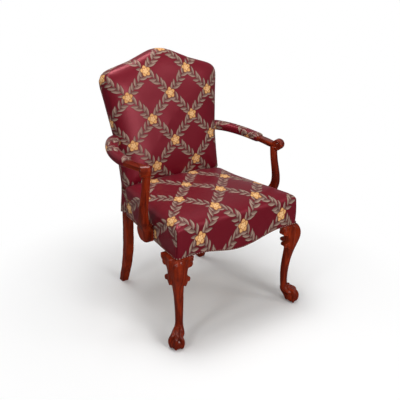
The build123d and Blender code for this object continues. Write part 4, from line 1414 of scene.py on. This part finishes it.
def gimpTree():
    tree = bpy.data.node_groups.new("gimpCord", "GeometryNodeTree")
    face = tree.interface
    face.new_socket("Geometry", in_out="INPUT", socket_type="NodeSocketGeometry")
    sizes = {}
    for label in ("Cord Radius", "Bead Radius", "Bead Gap"):
        sizes[label] = face.new_socket(label, in_out="INPUT", socket_type="NodeSocketFloat").identifier
    face.new_socket("Geometry", in_out="OUTPUT", socket_type="NodeSocketGeometry")
    start = addNode(tree, "NodeGroupInput")
    end = addNode(tree, "NodeGroupOutput")
    link = tree.links.new
    circle = addNode(tree, "GeometryNodeCurvePrimitiveCircle")
    circle.inputs["Resolution"].default_value = 8
    link(start.outputs["Cord Radius"], circle.inputs["Radius"])
    tube = addNode(tree, "GeometryNodeCurveToMesh")
    link(start.outputs["Geometry"], tube.inputs["Curve"])
    link(circle.outputs["Curve"], tube.inputs["Profile Curve"])
    tube.inputs["Fill Caps"].default_value = True
    cordPaint = addNode(tree, "GeometryNodeSetMaterial")
    cordPaint.inputs["Material"].default_value = gimpDark
    link(tube.outputs["Mesh"], cordPaint.inputs["Geometry"])
    dots = addNode(tree, "GeometryNodeCurveToPoints", mode="LENGTH")
    link(start.outputs["Geometry"], dots.inputs["Curve"])
    link(start.outputs["Bead Gap"], dots.inputs["Length"])
    bead = addNode(tree, "GeometryNodeMeshIcoSphere")
    bead.inputs["Subdivisions"].default_value = 2
    link(start.outputs["Bead Radius"], bead.inputs["Radius"])
    spread = addNode(tree, "GeometryNodeInstanceOnPoints")
    link(dots.outputs["Points"], spread.inputs["Points"])
    link(bead.outputs["Mesh"], spread.inputs["Instance"])
    real = addNode(tree, "GeometryNodeRealizeInstances")
    link(spread.outputs["Instances"], real.inputs["Geometry"])
    beadPaint = addNode(tree, "GeometryNodeSetMaterial")
    beadPaint.inputs["Material"].default_value = gimpLight
    link(real.outputs["Geometry"], beadPaint.inputs["Geometry"])
    join = addNode(tree, "GeometryNodeJoinGeometry")
    link(cordPaint.outputs["Geometry"], join.inputs["Geometry"])
    link(beadPaint.outputs["Geometry"], join.inputs["Geometry"])
    link(join.outputs["Geometry"], end.inputs["Geometry"])
    return tree, sizes


gimpNodes, gimpSizes = gimpTree()


def gimpPiece(name, points):
    curve = bpy.data.curves.new(name, "CURVE")
    curve.dimensions = "3D"
    spline = curve.splines.new("POLY")
    spline.points.add(len(points) - 1)
    for target, point in zip(spline.points, points):
        target.co = (*point, 1.0)
    path = newPiece(name + "_path", curve)
    modifier = path.modifiers.new("gimp", "NODES")
    modifier.node_group = gimpNodes
    modifier[gimpSizes["Cord Radius"]] = gimp["cordRadius"]
    modifier[gimpSizes["Bead Radius"]] = gimp["beadRadius"]
    modifier[gimpSizes["Bead Gap"]] = gimp["beadGap"]
    graph = bpy.context.evaluated_depsgraph_get()
    mesh = bpy.data.meshes.new_from_object(path.evaluated_get(graph))
    bpy.data.objects.remove(path)
    piece = newPiece(name, mesh)
    shadeSmooth(mesh)
    return hand(piece, None, "damask")


centre = Vector((0, -0.05, 0))
hemRun = []
for point, name in zip(hemLine, hemSides):
    if name != "rear":
        outward = Vector((point.x - centre.x, point.y - centre.y, 0)).normalized()
        hemRun.append((name, point + outward * gimp["stand"] + Vector((0, 0, gimp["lift"]))))
leftRun = [point for name, point in hemRun if name == "left"]
otherRun = [point for name, point in hemRun if name != "left"]
gimpPiece("seat_hem_gimp", leftRun + otherRun)


def supportOutline(side, sign):
    # Where the seat's side meets the arm support, as a line open at the hem
    work = bmesh.new()
    work.from_mesh(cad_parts[f"arm_support_{side}"].data)
    bmesh.ops.remove_doubles(work, verts=work.verts, dist=2e-6)
    slope = (seat["rearHalf"] - seat["frontHalf"]) / (seat["rearY"] - seat["frontY"])
    outward = Vector((sign, -slope, 0)).normalized()
    along = gimp["supportY"]
    onSide = Vector((sign * (seatHalf(along) + gimp["fromSide"]), along, 0.4))
    everything = [*work.verts, *work.edges, *work.faces]
    cut = bmesh.ops.bisect_plane(work, geom=everything, plane_co=onSide, plane_no=outward)["geom_cut"]
    edges = [part for part in cut if isinstance(part, bmesh.types.BMEdge)]
    links = {}
    for edge in edges:
        first, second = edge.verts
        links.setdefault(first, []).append(second)
        links.setdefault(second, []).append(first)
    start = min(links, key=lambda vertex: vertex.co.z)
    line = [start]
    while True:
        onward = [vertex for vertex in links[line[-1]] if vertex not in line]
        if not onward:
            break
        line.append(onward[0])
    points = [vertex.co.copy() for vertex in line]
    work.free()
    middle = sum(points, Vector()) / len(points)
    lowest = seat["hem"] + gimp["supportFrom"]
    kept = [point for point in points if lowest < point.z < gimp["supportTop"]]
    run = []
    for point in kept:
        away = point - middle
        place = point + away.normalized() * gimp["stand"]
        if not run or (place - run[-1]).length > gimp["pointGap"]:
            run.append(place)
    # Front and rear edges of the support, each from the hem up
    front = [point for point in run if point.y < middle.y]
    rear = [point for point in run if point.y >= middle.y]
    return [sorted(part, key=lambda point: point.z) for part in (front, rear)]


for side, sign in (("left", -1), ("right", 1)):
    for name, line in zip(("front", "rear"), supportOutline(side, sign)):
        if len(line) > 3:
            gimpPiece(f"support_gimp_{name}_{side}", line)
print("gimp made")

# Stage: pale floor, soft lamps and the camera
stage = {
    "floorSize": 400.0,
    "floorColour": srgb(248, 248, 248),
    "floorMirrored": srgb(90, 84, 82),
    "whiteFrom": 0.35,
    "whiteTo": 1.1,
    "skyStrength": 0.3,
    "horizonStrength": 1.0,
    # place, size and power of each lamp
    "lamps": {
        "leftBox": ((-2.2, -1.0, 1.8), 0.4, 10.0),
        "frontBox": ((0.2, -2.9, 1.4), 1.0, 33.0),
        "rightBox": ((1.6, -2.0, 2.2), 0.7, 9.0),
        "topBox": ((-0.2, 0.2, 2.9), 1.2, 44.0),
    },
}


def floorPiece():
    mesh = bpy.data.meshes.new("floor")
    half = stage["floorSize"] / 2
    corners = [(-half, -half, 0), (half, -half, 0), (half, half, 0), (-half, half, 0)]
    mesh.from_pydata(corners, [], [(0, 1, 2, 3)])
    floor = newPiece("floor", mesh)
    material, tree, shader = newMaterial("paleFloor")
    # Polished wood and satin mirror a dimmer floor than the one in view
    path = addNode(tree, "ShaderNodeLightPath")
    mirrored = path.outputs["Is Glossy Ray"]
    colour = blendColour(tree, mirrored, stage["floorColour"], stage["floorMirrored"])
    feed(tree, shader.inputs["Base Color"], colour)
    shader.inputs["Roughness"].default_value = 0.9
    shader.inputs["Specular IOR Level"].default_value = 0.1
    place = addNode(tree, "ShaderNodeTexCoord")
    distance = addNode(tree, "ShaderNodeVectorMath", operation="LENGTH")
    feed(tree, distance.inputs[0], place.outputs["Object"])
    far = ramp(tree, distance.outputs["Value"], stage["whiteFrom"], stage["whiteTo"])
    seen = path.outputs["Is Camera Ray"]
    glow = addNode(tree, "ShaderNodeEmission")
    glow.inputs["Strength"].default_value = 1.0
    mix = addNode(tree, "ShaderNodeMixShader")
    feed(tree, mix.inputs[0], calc(tree, "MULTIPLY", far, seen))
    tree.links.new(shader.outputs[0], mix.inputs[1])
    tree.links.new(glow.outputs[0], mix.inputs[2])
    tree.links.new(mix.outputs[0], tree.nodes["Material Output"].inputs["Surface"])
    mesh.materials.append(material)


def lamp(name, place, size, power):
    light = bpy.data.lights.new(name, "AREA")
    light.shape = "SQUARE"
    light.size = size
    light.energy = power
    holder = bpy.data.objects.new(name, light)
    scene.collection.objects.link(holder)
    holder.location = place
    aim = Vector((0, 0, 0.5)) - Vector(place)
    holder.rotation_euler = aim.to_track_quat("-Z", "Y").to_euler()


floorPiece()
for name, (place, size, power) in stage["lamps"].items():
    lamp(name, place, size, power)
world = bpy.data.worlds.new("studio")
world.use_nodes = True
sky = world.node_tree
heading = addNode(sky, "ShaderNodeTexCoord")
skyParts = addNode(sky, "ShaderNodeSeparateXYZ")
feed(sky, skyParts.inputs[0], heading.outputs["Generated"])
above = ramp(sky, skyParts.outputs["Z"], 0.1, 0.22)
fade = stage["skyStrength"] - stage["horizonStrength"]
# Only the camera sees the bright horizon; the chair is lit by an even, dim sky
path = addNode(sky, "ShaderNodeLightPath")
unseen = calc(sky, "SUBTRACT", 1.0, path.outputs["Is Camera Ray"])
dimmed = calc(sky, "MAXIMUM", above, unseen)
glow = calc(sky, "MULTIPLY_ADD", dimmed, fade, stage["horizonStrength"])
feed(sky, sky.nodes["Background"].inputs["Strength"], glow)
sky.nodes["Background"].inputs["Color"].default_value = (1, 1, 1, 1)
scene.world = world

view = {
    "azimuth": radians(-35.15),
    "elevation": radians(20.75),
    "distance": 2.2543,
    "target": Vector((-0.004, -0.0161, 0.4565)),
    "roll": radians(0.35),
    "lens": 49.73,
    "shift": (0.0035, -0.011),
}
behind = Vector(
    (
        sin(view["azimuth"]) * cos(view["elevation"]),
        -cos(view["azimuth"]) * cos(view["elevation"]),
        sin(view["elevation"]),
    )
)
right = Vector((cos(view["azimuth"]), sin(view["azimuth"]), 0))
upward = behind.cross(right)
rolledRight = right * cos(view["roll"]) + upward * sin(view["roll"])
rolledUp = upward * cos(view["roll"]) - right * sin(view["roll"])
camera = bpy.data.objects.new("camera", bpy.data.cameras.new("camera"))
scene.collection.objects.link(camera)
turned = Matrix((rolledRight, rolledUp, behind)).transposed().to_4x4()
camera.matrix_world = Matrix.Translation(view["target"] + behind * view["distance"]) @ turned
camera.data.sensor_width = 36
camera.data.lens = view["lens"]
camera.data.shift_x, camera.data.shift_y = view["shift"]
scene.camera = camera
scene.view_settings.view_transform = "Standard"
print("stage set")
